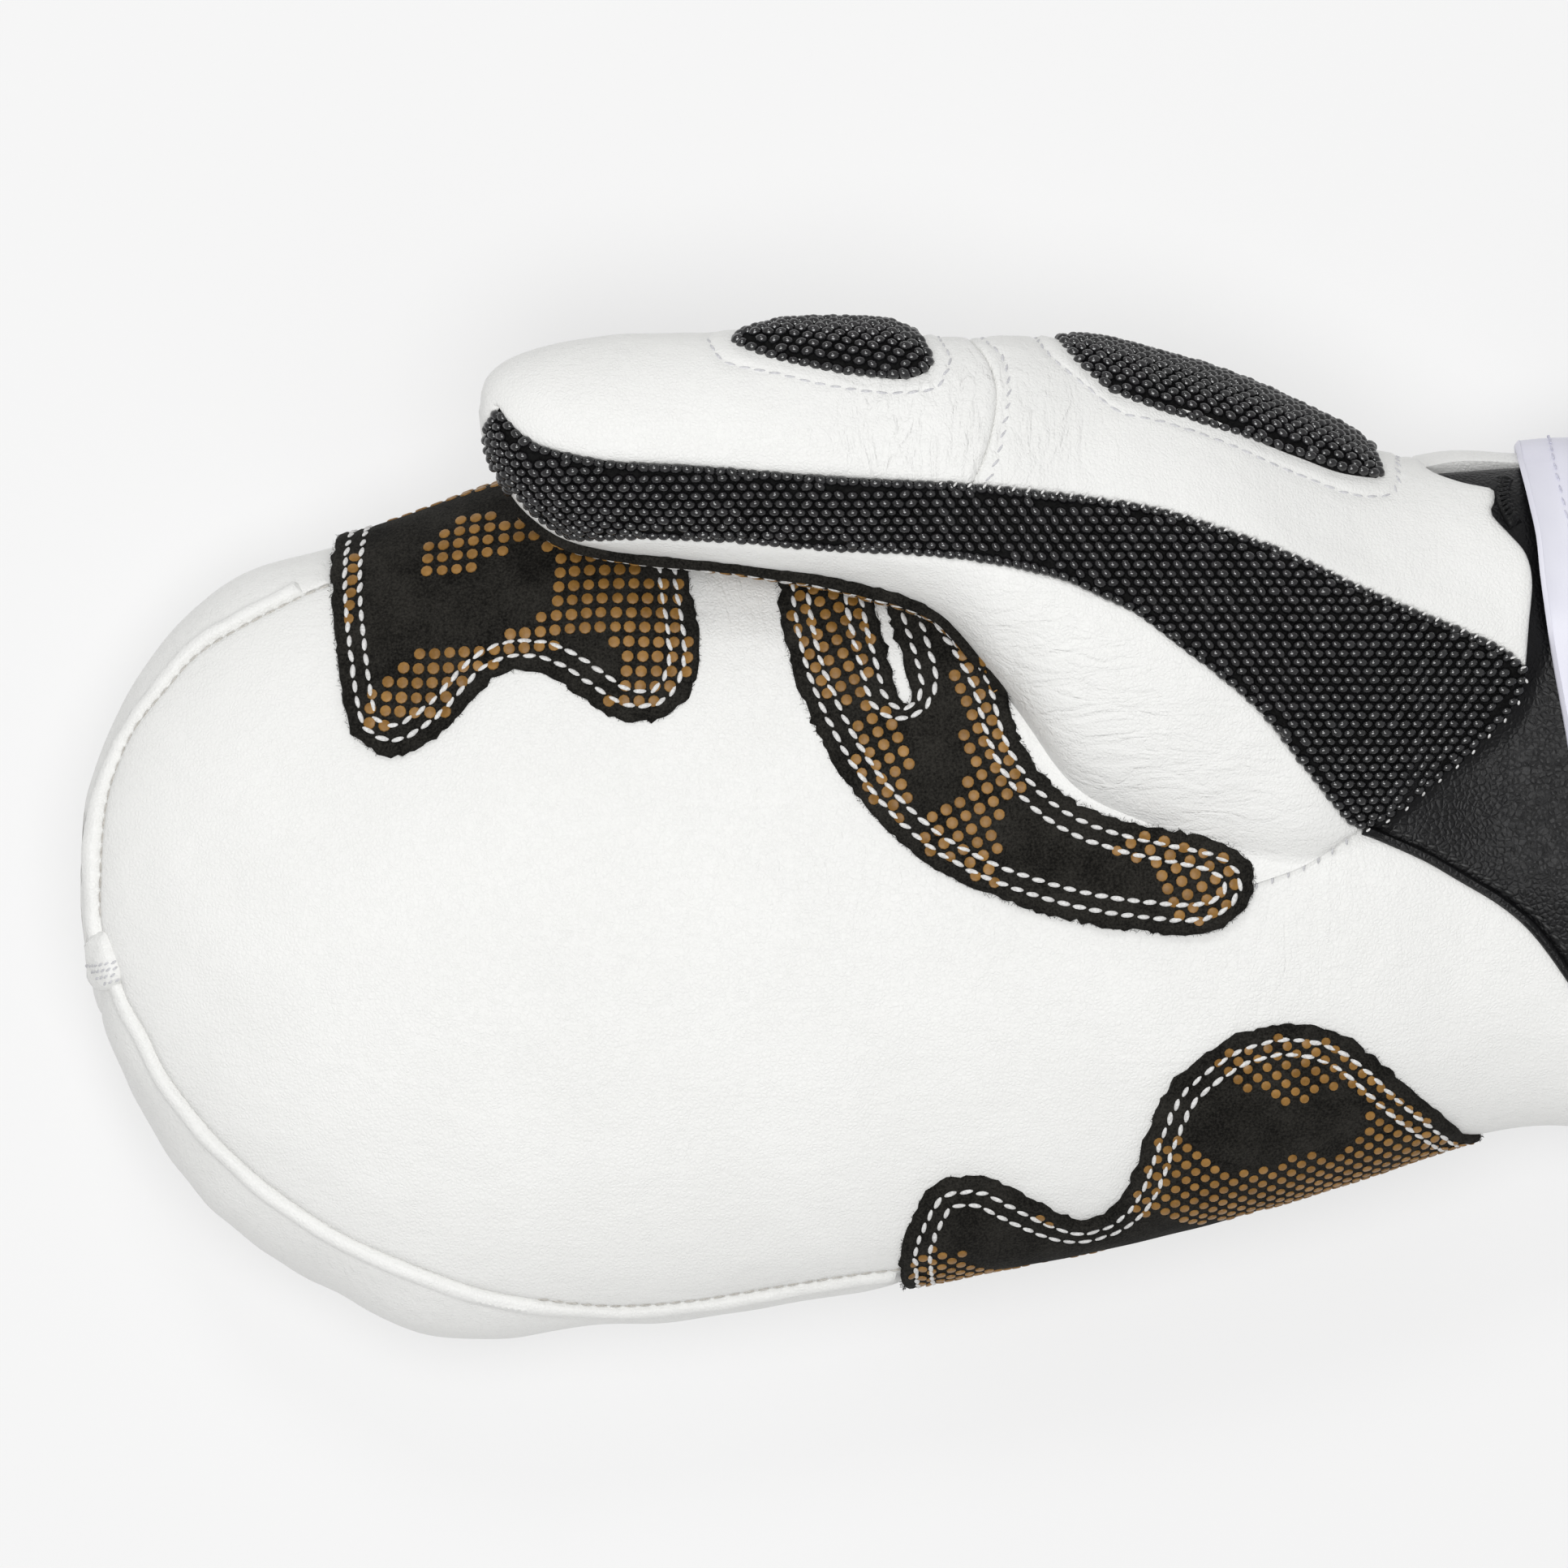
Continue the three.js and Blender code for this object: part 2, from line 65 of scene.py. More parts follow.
def through(rows, per_gap):
    """Points on a smooth curve through the rows of a table."""
    rows = np.asarray(rows, float)
    last = len(rows) - 1
    t = np.linspace(0, last, per_gap * last + 1)
    i = np.minimum(t.astype(int), last - 1)
    f = (t - i)[:, None]
    a, b, c, d = (rows[np.clip(i + k, 0, last)] for k in (-1, 0, 1, 2))
    return b + 0.5 * f * (c - a + f * (2 * a - 5 * b + 4 * c - d + f * (3 * (b - c) + d - a)))


def spaced(line, step):
    """The same line with points an even step apart."""
    line = np.asarray(line, float)
    run = np.concatenate([[0], np.cumsum(np.linalg.norm(np.diff(line, axis=0), axis=1))])
    count = max(2, int(round(run[-1] / step)) + 1)
    at = np.linspace(0, run[-1], count)
    return np.stack([np.interp(at, run, column) for column in line.T], axis=1)


def curve(points, step=1.0):
    return spaced(through(points, 12), step)


def unit(vectors):
    """The same directions with a length of 1."""
    return vectors / np.maximum(np.linalg.norm(vectors, axis=1, keepdims=True), 1e-9)


def shifted(line, by):
    """The line moved sideways, to its left as it runs for a negative distance."""
    return line + by * unit(np.gradient(line, axis=0))[:, ::-1] * (1, -1)


def ring_shifted(loop, by, reach=1):
    """A closed line moved sideways in the same way."""
    along = unit(np.roll(loop, -reach, axis=0) - np.roll(loop, reach, axis=0))
    return loop + by * along[:, ::-1] * (1, -1)


class Skin:
    """A lofted form with flat coordinates: w runs along its ridge from the tip and s round it, both in
    millimetres over the leather. s is 0 on the middle line, at the angle given as the centre."""
    span = 275          # degrees that are measured either side of the centre

    def __init__(self, sections, roundness, centre):
        self.rows = through(sections, 20)
        self.over, self.under = roundness
        x, crown = self.rows[:, 0], self.rows[:, 3]
        self.w = np.concatenate([[0], np.cumsum(np.hypot(np.diff(x), np.diff(crown)))])
        self.angles = np.radians(np.linspace(centre - self.span, centre + self.span, 2 * self.span + 1))
        ring = self.section(self.rows[:, None, :], self.angles[None, :])
        length = np.linalg.norm(np.diff(ring, axis=1), axis=2)
        arc = np.concatenate([np.zeros((len(x), 1)), np.cumsum(length, axis=1)], axis=1)
        self.arc = arc[:, self.span, None] - arc

    def section(self, rows, angle):
        x, low, high, crown, waist, base = np.moveaxis(rows, -1, 0)
        cos, sin = np.cos(angle), np.sin(angle)
        power = 2 / np.where(sin > 0, self.over, self.under)
        y = (low + high) / 2 + (high - low) / 2 * np.sign(cos) * np.abs(cos) ** power
        reach = np.where(sin > 0, crown - waist, waist - base)
        z = waist + reach * np.sign(sin) * np.abs(sin) ** power
        return np.stack([x + 0 * y, y, np.maximum(z, 0.0)], axis=-1)

    def rows_at(self, w):
        return np.stack([np.interp(w, self.w, column) for column in self.rows.T], axis=-1)

    def arcs(self, w):
        """The lengths round the form at each w, to be read at an angle's number."""
        i = np.clip(np.searchsorted(self.w, w) - 1, 0, len(self.w) - 2)
        f = (w - self.w[i]) / (self.w[i + 1] - self.w[i])
        return lambda k: self.arc[i, k] * (1 - f) + self.arc[i + 1, k] * f

    def place(self, ws):
        """Points of the form for its flat coordinates."""
        w, s = np.clip(ws[:, 0], 0, self.w[-1]), ws[:, 1]
        arc = self.arcs(w)
        low, high = np.zeros(len(w), int), np.full(len(w), 2 * self.span - 1)
        while (high > low).any():
            middle = (low + high + 1) // 2
            above = arc(middle) >= s
            low = np.where(above, middle, low)
            high = np.where(above, high, middle - 1)
        a, b = arc(low), arc(low + 1)
        part = np.clip((a - s) / np.maximum(a - b, 1e-9), 0, 1)
        angle = self.angles[low] + part * (self.angles[1] - self.angles[0])
        return self.section(self.rows_at(w), angle)

    def axes(self, ws):
        """Each point with the directions along the form, round it and out of it."""
        step, smallest = 0.3, 1.2       # nearer the tip than that the form is too small to measure
        point = self.place(ws)
        girth = self.arc[:, 0] - self.arc[:, -1]
        near = np.maximum(ws[:, 0], smallest)
        grown = np.interp(near, self.w, girth) / np.interp(ws[:, 0], self.w, girth)
        ws = np.stack([near, ws[:, 1] * grown], axis=1)
        along = self.place(ws + (step, 0)) - self.place(ws - (step, 0))
        round_it = self.place(ws + (0, step)) - self.place(ws - (0, step))
        along, out = unit(along), unit(np.cross(along, round_it))
        return point, along, np.cross(out, along), out

    def lifted(self, ws, height):
        point, _, _, out = self.axes(ws)
        return point + out * np.reshape(height, (-1, 1))

    def flat(self, x, angle):
        """Flat coordinates of points given as x and an angle round the form."""
        w = np.interp(x, self.rows[:, 0], self.w)
        arc = self.arcs(w)
        k = (angle - self.angles[0]) / (self.angles[1] - self.angles[0])
        j = np.clip(k.astype(int), 0, 2 * self.span - 1)
        part = k - j
        return np.stack([w, arc(j) * (1 - part) + arc(j + 1) * part], axis=1)

    def turned(self, points):
        """The same for x and an angle in degrees."""
        x, angle = np.asarray(points, float).T
        return self.flat(x, np.radians(angle))

    def angle(self, points):
        """Angles of points given as x and y on the upper side."""
        x, y = np.asarray(points, float).T
        row = self.rows_at(np.interp(x, self.rows[:, 0], self.w))
        v = np.clip((2 * y - row[:, 1] - row[:, 2]) / (row[:, 2] - row[:, 1]), -1, 1)
        return np.arccos(np.sign(v) * np.abs(v) ** (self.over / 2))

    def seen(self, points):
        """Flat coordinates of points given as x and y on the upper side."""
        return self.flat(np.asarray(points, float)[:, 0], self.angle(points))

    def side(self, points, side, turns=0):
        """Flat coordinates of points given as x and z, on the thumb's side (1) or the other (-1)."""
        x, z = np.asarray(points, float).T
        row = self.rows_at(np.interp(x, self.rows[:, 0], self.w))
        up = np.clip((z - row[:, 4]) / (row[:, 3] - row[:, 4]), 0, 1) ** (self.over / 2)
        down = np.clip((row[:, 4] - z) / (row[:, 4] - row[:, 5]), 0, 1) ** (self.under / 2)
        angle = np.where(z > row[:, 4], np.arcsin(up), -np.arcsin(down))
        angle = angle if side > 0 else np.pi - angle
        return self.flat(x, angle + 2 * np.pi * turns)

    def top(self, x, y):
        """The height of the upper side, with how far towards the form's edge each point is."""
        row = [np.interp(x, self.rows[:, 0], column) for column in self.rows.T]
        v = np.clip(np.abs((2 * y - row[1] - row[2]) / (row[2] - row[1])), 0, 1)
        return row[4] + (row[3] - row[4]) * (1 - v ** self.over) ** (1 / self.over), v


hand = Skin(HAND_SECTIONS, HAND_ROUNDNESS, 90)

TIP_SEAM = curve([
    (38.6, 38.6), (34.3, 36.8), (25.5, 32.4), (18, 27.8), (13, 22.4), (8, 16.1), (4.9, 9.3), (3.4, 3),
    (2.8, -5.8), (2.9, -14.5), (4.9, -20.1), (6.8, -26), (9.9, -31.4), (13, -37.6), (19.3, -45.8),
    (25.5, -52), (31.8, -57), (40.5, -62.6), (50.5, -67), (61.8, -71.1), (73, -73.1), (83, -73.8),
    (94.3, -73), (106.8, -71), (119.3, -69), (126.8, -68.1)])
WRIST_SEAM = curve([
    (198, 0.3), (203, -1.8), (208, -4.1), (213, -7), (219.3, -10.8), (224.3, -15.1), (229.5, -22),
    (234.9, -30.8), (239.3, -40.8), (241.8, -49.5)])
UNDER_THUMB = spaced([(198, 0.3), (204, 8), (212, 30), (206, 55.4)], 2)
tip_seam = hand.seen(TIP_SEAM)
wrist_seam = hand.seen(WRIST_SEAM)


def joined(*lines):
    """Lines end to end, without doubled points."""
    whole = np.vstack(lines)
    keep = np.linalg.norm(whole - np.roll(whole, 1, axis=0), axis=1) > 0.15
    return whole[keep]


LOW_EDGE = spaced([(241.8, 20), (150, 20), (127, 14)], 2)
HIGH_EDGE = spaced([(206, 20), (150, 20), (130, 14), (44, 14)], 2)
palm_loop = joined(
    tip_seam,
    hand.side(spaced([(127, 24), (127, 14)], 2), -1),
    hand.side(LOW_EDGE[::-1], -1),
    wrist_seam[::-1],
    hand.seen(UNDER_THUMB),
    hand.side(spaced([(206, 30), (206, 20)], 2), 1),
    hand.side(HIGH_EDGE, 1),
    hand.side(spaced([(44, 14), (43, 36)], 2), 1),
    hand.seen([(42.5, 45.5)]),
)


BATCH = 3000                        # points that are measured at a time


def away(points, line, closed=True):
    """The distance of each point from a line."""
    ends = np.roll(line, -1, axis=0) if closed else line[1:]
    starts = line if closed else line[:-1]
    span = ends - starts
    size = np.maximum((span ** 2).sum(axis=1), 1e-12)
    found = np.empty(len(points))
    for k in range(0, len(points), BATCH):
        gap = points[k:k + BATCH, None, :] - starts[None]
        t = np.clip((gap * span).sum(axis=2) / size, 0, 1)
        found[k:k + BATCH] = np.linalg.norm(gap - t[..., None] * span, axis=2).min(axis=1)
    return found


def inside(points, loop):
    """Whether each point lies in a closed outline."""
    x0, y0 = loop.T
    x1, y1 = np.roll(loop, -1, axis=0).T
    found = np.empty(len(points), bool)
    for k in range(0, len(points), BATCH):
        x, y = points[k:k + BATCH, None, 0], points[k:k + BATCH, None, 1]
        crosses = (y0 > y) != (y1 > y)
        slope = np.where(y1 == y0, 1e-9, y1 - y0)
        found[k:k + BATCH] = (crosses & (x < (x1 - x0) * (y - y0) / slope + x0)).sum(axis=1) % 2 == 1
    return found


DIP_ROWS = (-1.1, -0.5, 0, 0.5, 1.1)        # rows of points across a line of stitches that dips the leather


def within(points, loop, holes=(), margin=None):
    """Which points lie in an outline and outside its holes, and further than a margin from each edge."""
    found = np.flatnonzero(inside(points, loop))
    for hole in holes:
        found = found[~inside(points[found], hole)]
    if margin is not None:
        found = found[np.min([away(points[found], one) for one in (loop, *holes)], axis=0) > margin]
    return found


def fill(loop, step, depths, holes=(), rows=()):
    """Points and triangles that fill an outline, with rows of points along its edges and dips."""
    loops = [loop, *holes]

    def usable(points, depth):
        return points[within(points, loop, holes, depth)]

    inner = []
    for one in loops:
        for depth in depths:
            for sign in (1, -1):
                inner.append(usable(ring_shifted(one, sign * depth), 0.93 * depth))
    low, high = loop.min(axis=0), loop.max(axis=0)
    u, v = np.meshgrid(np.arange(low[0], high[0], step), np.arange(low[1], high[1], 0.866 * step))
    u[1::2] += step / 2
    grid = np.stack([u.ravel(), v.ravel()], axis=1)
    for row in rows:
        grid = grid[away(grid, row, False) > DIP_ROWS[-1] + 0.4 * step]
        for by in DIP_ROWS:
            inner.append(usable(spaced(shifted(row, by), 0.7), depths[-1] + 0.3))
    inner.append(usable(grid, depths[-1] + 0.45 * step))
    points = np.vstack([*loops, *inner])
    edges, start = [], 0
    for one in loops:
        edges += [(start + k, start + (k + 1) % len(one)) for k in range(len(one))]
        start += len(one)
    out, _, faces, *_ = delaunay_2d_cdt([tuple(p) for p in points], edges, [], 0, 1e-5)
    points = np.array([tuple(p) for p in out])
    faces = np.array([f for f in faces if len(f) == 3])
    faces = faces[within(points[faces].mean(axis=1), loop, holes)]
    a, b, c = (points[faces[:, k]] for k in range(3))
    clockwise = (b - a)[:, 0] * (c - a)[:, 1] - (b - a)[:, 1] * (c - a)[:, 0] < 0
    faces[clockwise] = faces[clockwise][:, ::-1]
    used, index = np.unique(faces, return_inverse=True)
    return points[used], index.reshape(faces.shape)


ORIGIN = np.array([138.8, 0.05, 0.0])      # the middle of the glove's footprint on the pattern


def add_object(name, bm, material, replaces=(), angle=50):
    """A mesh made in millimetres on the pattern, set in its place on the glove in metres."""
    for vert in bm.verts:
        vert.co = (np.array(vert.co) - ORIGIN) / 1000
    mesh = bpy.data.meshes.new(name)
    bm.to_mesh(mesh)
    bm.free()
    mesh.materials.append(material)
    mesh.shade_smooth()
    mesh.set_sharp_from_angle(angle=np.radians(angle))
    obj = bpy.data.objects.new(name, mesh)
    bpy.context.collection.objects.link(obj)
    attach(obj, "root")
    if replaces:
        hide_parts(*replaces)


ROLLED = ([0, 0.3, 0.8, 1.7], [-1.2, -0.5, -0.12, 0])     # a turned leather edge, sewn down in a seam


def panel(name, skin, loop, material, slot, replaces=(), lift=0.0, thickness=1.6, step=1.8, edge=ROLLED,
          seams=None, holes=(), rows=(), relief=None, crease=None, settle=None, pole=False):
    """A sheet of leather or cloth over a form: the flat piece, extruded to a thickness, its edges
    shaped, and every point laid on the form. pole is for a piece that closes over the form's tip.
    Returns the surface, for what is sewn onto it."""
    points, faces = fill(loop, step, edge[0][1:], holes, rows)
    closed = seams is None
    lines = (loop, *holes) if closed else seams

    def height(flat):
        depth = np.min([away(flat, line, closed) for line in lines], axis=0)
        form = np.interp(depth, *edge) + (relief(flat, skin.place(flat), depth) if relief else 0)
        return form * (np.clip(flat[:, 0] / 5, 0, 1) if pole else 1) + lift

    def lay(flat, depth=0.0):
        top = height(flat)
        point = skin.lifted(flat, top)
        moved = settle(point) - point if settle is not None else 0
        if depth:
            point = skin.lifted(flat, np.minimum(top, lift) - depth)
        point = point + moved
        point[:, 2] = np.maximum(point[:, 2], 0.01 if depth else 0.02)      # stays above what it lies on
        return point

    bm = bmesh.new()
    uv = bm.loops.layers.uv.new("pattern")
    layer = bm.verts.layers.float.new("crease")
    verts = [bm.verts.new((u, v, 0)) for u, v in points]
    for face in faces:
        bm.faces.new([verts[k] for k in face])
    made = bmesh.ops.extrude_face_region(bm, geom=bm.faces[:], use_keep_orig=True)["geom"]
    upper = [v for v in made if isinstance(v, bmesh.types.BMVert)]
    above = set(upper)
    lower = [v for v in bm.verts if v not in above]
    for face in bm.faces:
        for corner in face.loops:
            corner[uv].uv = corner.vert.co.xy / 100
    for verts, depth in ((upper, 0.0), (lower, thickness)):
        flat = np.array([tuple(v.co.xy) for v in verts])
        point = lay(flat, depth)
        if pole:
            tip = flat[:, 0] < 0.02
            point[tip] = point[tip].mean(axis=0)
        if crease is not None:
            for vert, value in zip(verts, crease(point)):
                vert[layer] = value
        for vert, place in zip(verts, point):
            vert.co = place
    if pole:
        bmesh.ops.remove_doubles(bm, verts=bm.verts[:], dist=0.0005)
    bmesh.ops.recalc_face_normals(bm, faces=bm.faces[:])
    add_object(name, bm, material, replaces)
    return lay


class Wire:
    """A shader socket that can stand in sums and products."""

    def __init__(self, tree, socket):
        self.tree, self.socket = tree, socket

    def node(self, kind, settings=None, inputs=None, output=0):
        made = self.tree.nodes.new(kind)
        for key, value in (settings or {}).items():
            setattr(made, key, value)
        for key, value in (inputs or {}).items():
            if isinstance(value, Wire):
                self.tree.links.new(value.socket, made.inputs[key])
            else:
                made.inputs[key].default_value = value
        return Wire(self.tree, made.outputs[output])

    def maths(self, operation, *values):
        return self.node("ShaderNodeMath", {"operation": operation}, dict(enumerate(values)))

    def __add__(self, other):
        return self.maths("ADD", self, other)

    def __sub__(self, other):
        return self.maths("SUBTRACT", self, other)

    def __rsub__(self, other):
        return self.maths("SUBTRACT", other, self)

    def __mul__(self, other):
        return self.maths("MULTIPLY", self, other)

    __radd__ = __add__
    __rmul__ = __mul__

    def blend(self, low, high):
        """A colour between two, by this value."""
        return self.node("ShaderNodeMix", {"data_type": "RGBA"}, {0: self, 6: (*low, 1), 7: (*high, 1)}, 2)

    def between(self, low, high):
        """0 up to the low value, 1 from the high one."""
        return self.node("ShaderNodeMapRange", {}, {0: self, 1: low, 2: high})


def new_material(name, **sockets):
    """A material with its shader, and the wire of its Object coordinates."""
    material = bpy.data.materials.new(name)
    material.use_nodes = True
    tree = material.node_tree
    shader = tree.nodes["Principled BSDF"]
    for key, value in sockets.items():
        shader.inputs[key.replace("_", " ")].default_value = value
    return material, shader, Wire(tree, None).node("ShaderNodeTexCoord", output=3)


def connect(shader, **wires):
    for key, wire in wires.items():
        wire.tree.links.new(wire.socket, shader.inputs[key.replace("_", " ")])


def noise(at, scale, detail=3.0, rough=0.55, twist=0.0):
    return at.node("ShaderNodeTexNoise", {}, {
        "Vector": at, "Scale": scale, "Detail": detail, "Roughness": rough, "Distortion": twist})


def bump(height, strength, distance, normal=None):
    inputs = {"Height": height, "Strength": strength, "Distance": distance}
    if normal is not None:
        inputs["Normal"] = normal
    return height.node("ShaderNodeBump", {}, inputs)


def leather(name, light, dark, grain, grain_depth, rough, crease_depth=0.0, shine=0.5, run=(0.3, 1, 0.6)):
    """Grained leather: rounded pebbles between fine lines, stretch marks, and creases where it bends.
    run is how the creases are drawn out along each axis, a small number for the longest way."""
    material, shader, at = new_material(name, Specular_IOR_Level=shine)
    waver = at.node("ShaderNodeTexNoise", {}, {"Vector": at, "Scale": 420.0}, 1)
    warped = at.node("ShaderNodeVectorMath", {"operation": "MULTIPLY_ADD"}, {0: waver, 1: (0.0008,) * 3, 2: at})
    pebble = at.node("ShaderNodeTexVoronoi", {"feature": "DISTANCE_TO_EDGE"}, {"Vector": warped, "Scale": grain})
    fine = noise(at, 2.6 * grain, 2.0)
    cloud = noise(at, 45.0)
    normal = bump(pebble.between(0.0, 0.3) + fine * 0.5, 1.0, grain_depth)
    if crease_depth:
        def drawn(angle, stretch):
            return at.node("ShaderNodeMapping", {}, {"Vector": at, "Rotation": (0, 0, angle), "Scale": stretch})
        mask = at.node("ShaderNodeAttribute", {"attribute_name": "crease"}, output=2)
        folds = noise(drawn(0.12, run), 330.0, 3.0, 0.5, 0.6) - 0.5
        folds = folds.maths("ABSOLUTE", folds).between(0.0, 0.13)
        marks = noise(drawn(1.0, (0.22, 1, 1)), 900.0, 2.0)
        swells = noise(at, 85.0, 2.0, 0.5, 0.4)
        normal = bump(marks, 1.0, 0.5 * crease_depth, normal)
        normal = bump(swells, 1.0, 2.5 * crease_depth, normal)
        normal = bump(folds * mask, 1.0, crease_depth, normal)
    connect(shader, Base_Color=cloud.between(0.3, 0.7).blend(dark, light), Roughness=fine * 0.18 + rough,
            Normal=normal)
    return material


LIGHT, SHADE = (0.855, 0.855, 0.838), (0.83, 0.83, 0.812)
WHITE = leather("white_leather", LIGHT, SHADE, 1500.0, 0.00005, 0.4, 0.00017, 0.4, run=(1, 0.32, 0.4))


def ripple(place, size, seed, amount):
    """Soft hollows and swells of about the given size."""
    rng = np.random.default_rng(seed)
    total = np.zeros(len(place))
    for _ in range(9):
        way = rng.normal(size=3)
        way *= 2 * np.pi / size / np.linalg.norm(way) * rng.uniform(0.6, 1.5)
        total += np.sin(place @ way + rng.uniform(0, 6.3))
    return amount * total / 3


def spots(place, table):
    """A mask of soft round spots, each x, y, radius and strength."""
    total = np.zeros(len(place))
    for x, y, radius, strength in table:
        gap = ((place[:, 0] - x) ** 2 + (place[:, 1] - y) ** 2) / radius ** 2
        total += strength * np.exp(-gap)
    return np.clip(total, 0, 1)


def palm_relief(flat, place, depth):
    inner = np.clip(depth / 8, 0, 1)
    return inner * (ripple(place, 62, 3, 0.35) + ripple(place, 17, 5, 0.05))


PALM_CREASES = [(112, -2, 26, 0.25), (60, 40, 20, 0.2), (150, 0, 30, 0.3), (98, 38, 14, 0.5), (190, -12, 24, 0.25)]
palm = panel("palm_leather", hand, palm_loop, WHITE, "white_leather", ["palm_panel"], relief=palm_relief,
             seams=[tip_seam, wrist_seam], crease=lambda place: spots(place, PALM_CREASES))


# Back of the hand: white leather, wrapped up round the fingertips to the seam on the palm's side and
# pressed flat where the glove lies on it. It is sewn to the palm, the side wall and the wrist.
back = Skin(HAND_SECTIONS, HAND_ROUNDNESS, -90)
tab = np.argmin(np.hypot(TIP_SEAM[:, 0] - 3.3, TIP_SEAM[:, 1] + 16))        # where the raised seam ends
tab_angle = np.degrees(hand.angle(TIP_SEAM[tab:tab + 1])[0])
FRONT_POINTS, TIP_POINTS = 24, 10       # of the edge down round the fingertips, and from it to the very tip
front_x = np.linspace(TIP_SEAM[tab, 0], 2.6, FRONT_POINTS)
front_angle = np.linspace(tab_angle, 239, FRONT_POINTS)
front_line = hand.flat(front_x, np.radians(front_angle))
front_back = back.flat(front_x, np.radians(front_angle - 360))
tip_w = np.linspace(0, np.interp(TIP_SEAM[tab, 0], back.rows[:, 0], back.w), TIP_POINTS)
tip_x = np.interp(tip_w, back.w, back.rows[:, 0])
UNDER_EDGE = spaced([(127, 9), (2.8, 9)], 2)
back_loop = joined(
    back.seen(TIP_SEAM[tab::-1]),
    back.seen([(42.5, 45.5)]),
    back.side(spaced([(43, 36), (44, 14)], 2), 1),
    back.side(HIGH_EDGE[::-1], 1),
    back.side(spaced([(206, 20), (206, 30)], 2), 1),
    back.seen(spaced([(206, 55.4), (229.5, 57), (243, 57.8)], 2)),
    back.turned([(243, angle) for angle in np.arange(12, -196, -3.0)]),
    back.side(LOW_EDGE, -1, -1),
    back.side(spaced([(127, 14), (127, 9)], 2), -1, -1),
    back.side(UNDER_EDGE, -1, -1),
    front_back[::-1],
    back.turned([(x, tab_angle - 360) for x in tip_x[::-1]]),
    back.turned([(0, angle) for angle in np.linspace(tab_angle - 360, tab_angle, 31)]),
    back.turned([(x, tab_angle) for x in tip_x]),
)
BACK_SEAMS = [back.seen(TIP_SEAM[tab::-1]), front_back, back.side(UNDER_EDGE, -1, -1),
              back.side(HIGH_EDGE[::-1], 1), back.side(LOW_EDGE, -1, -1)]
FLUSH = ([0, 0.3, 0.8, 1.7], [-0.32, -0.16, -0.05, 0])      # an edge that stays nearly level at its seam


def back_relief(flat, place, depth):
    inner = np.clip(depth / 8, 0, 1) * np.clip((place[:, 2] - 2) / 6, 0, 1)
    swell = 1.8 * np.exp(-((place[:, 0] - 213) / 8) ** 2) * np.clip((place[:, 1] - 46) / 8, 0, 1)
    return inner * ripple(place, 40, 8, 0.5) + np.clip(depth / 3, 0, 1) * swell


panel("back_leather", back, back_loop, WHITE, "white_leather", ["back_panel"], step=2.6, seams=BACK_SEAMS,
      edge=FLUSH, relief=back_relief, crease=lambda place: np.full(len(place), 0.2), pole=True)


# Side wall: a strip of white leather round the fingertips and the little finger's edge, which gives
# the mitten its depth. It is sewn to the palm in the raised seam and to the back lower down.
gusset_loop = joined(
    tip_seam[tab:],
    hand.side(spaced([(127, 24), (127, 9)], 2), -1),
    hand.side(UNDER_EDGE, -1),
    front_line[::-1],
)


def gusset_relief(flat, place, depth):
    fold = np.exp(-((place[:, 0] - 78) / 9) ** 2 - ((place[:, 2] - 30) / 10) ** 2)
    return np.clip(depth / 6, 0, 1) * (ripple(place, 34, 14, 0.4) + ripple(place, 13, 15, 0.12)) - 0.9 * fold


panel("side_wall", hand, gusset_loop, WHITE, "white_leather", ["edge_gusset"], step=1.7, edge=FLUSH,
      relief=gusset_relief, crease=lambda place: np.full(len(place), 0.3))


# Raised seam: the edges of palm and side wall, turned and sewn together in a round ridge along the
# fingertips, and tacked down at the middle finger with a short overlap.
def beside(skin, line, by, parts=5):
    """The line on a form at an even distance beside another, measured over the form's curves."""
    near = 0.3
    for _ in range(parts):
        along = (skin.place(line + (near, 0)) - skin.place(line - (near, 0))) / (2 * near)
        across = (skin.place(line + (0, near)) - skin.place(line - (0, near))) / (2 * near)
        way = np.gradient(skin.place(line), axis=0)
        side = np.cross(way, np.cross(along, across))
        side *= by / parts / np.maximum(np.linalg.norm(side, axis=1, keepdims=True), 1e-9)
        a, b, c = (along ** 2).sum(1), (along * across).sum(1), (across ** 2).sum(1)
        d, e = (along * side).sum(1), (across * side).sum(1)
        size = np.maximum(a * c - b * b, 1e-3)
        line = line + np.stack([c * d - b * e, a * e - b * d], axis=1) / size[:, None]
    return line


WELT = ([0, 0.25, 0.6, 1.2], [-0.9, 0.25, 0.7, 0.95])
ridge = tip_seam[4:]


def at_tip(place):
    """1 at the very tip of the hand, where the ridge is widest, and 0 away from it."""
    return np.exp(-((place[:, 1] + 3) / 13) ** 2) * np.clip((14 - place[:, 0]) / 8, 0, 1)


welt_width = 2.6 + 0.9 * at_tip(hand.place(ridge))[:, None]
welt_loop = joined(beside(hand, ridge, -0.2), beside(hand, ridge, welt_width)[::-1])
panel("raised_seam", hand, welt_loop, WHITE, "white_leather", ["edge_welt"], step=0.9, edge=WELT, thickness=1.0,
      relief=lambda flat, place, depth: ripple(place, 7, 21, 0.12) + 0.6 * at_tip(place))
tack_loop = hand.seen(curve([
    (2.0, -16.2), (3.8, -15.4), (5.2, -18.6), (6.3, -22.2), (5.4, -24.4), (3.0, -24.2), (2.0, -20),
    (2.0, -16.2)])[:-1])
seam_tack = panel("seam_tack", hand, tack_loop, WHITE, "white_leather", lift=0.7, step=0.8, edge=WELT,
                  thickness=1.2, relief=lambda flat, place, depth: ripple(place, 3.5, 22, 0.2))


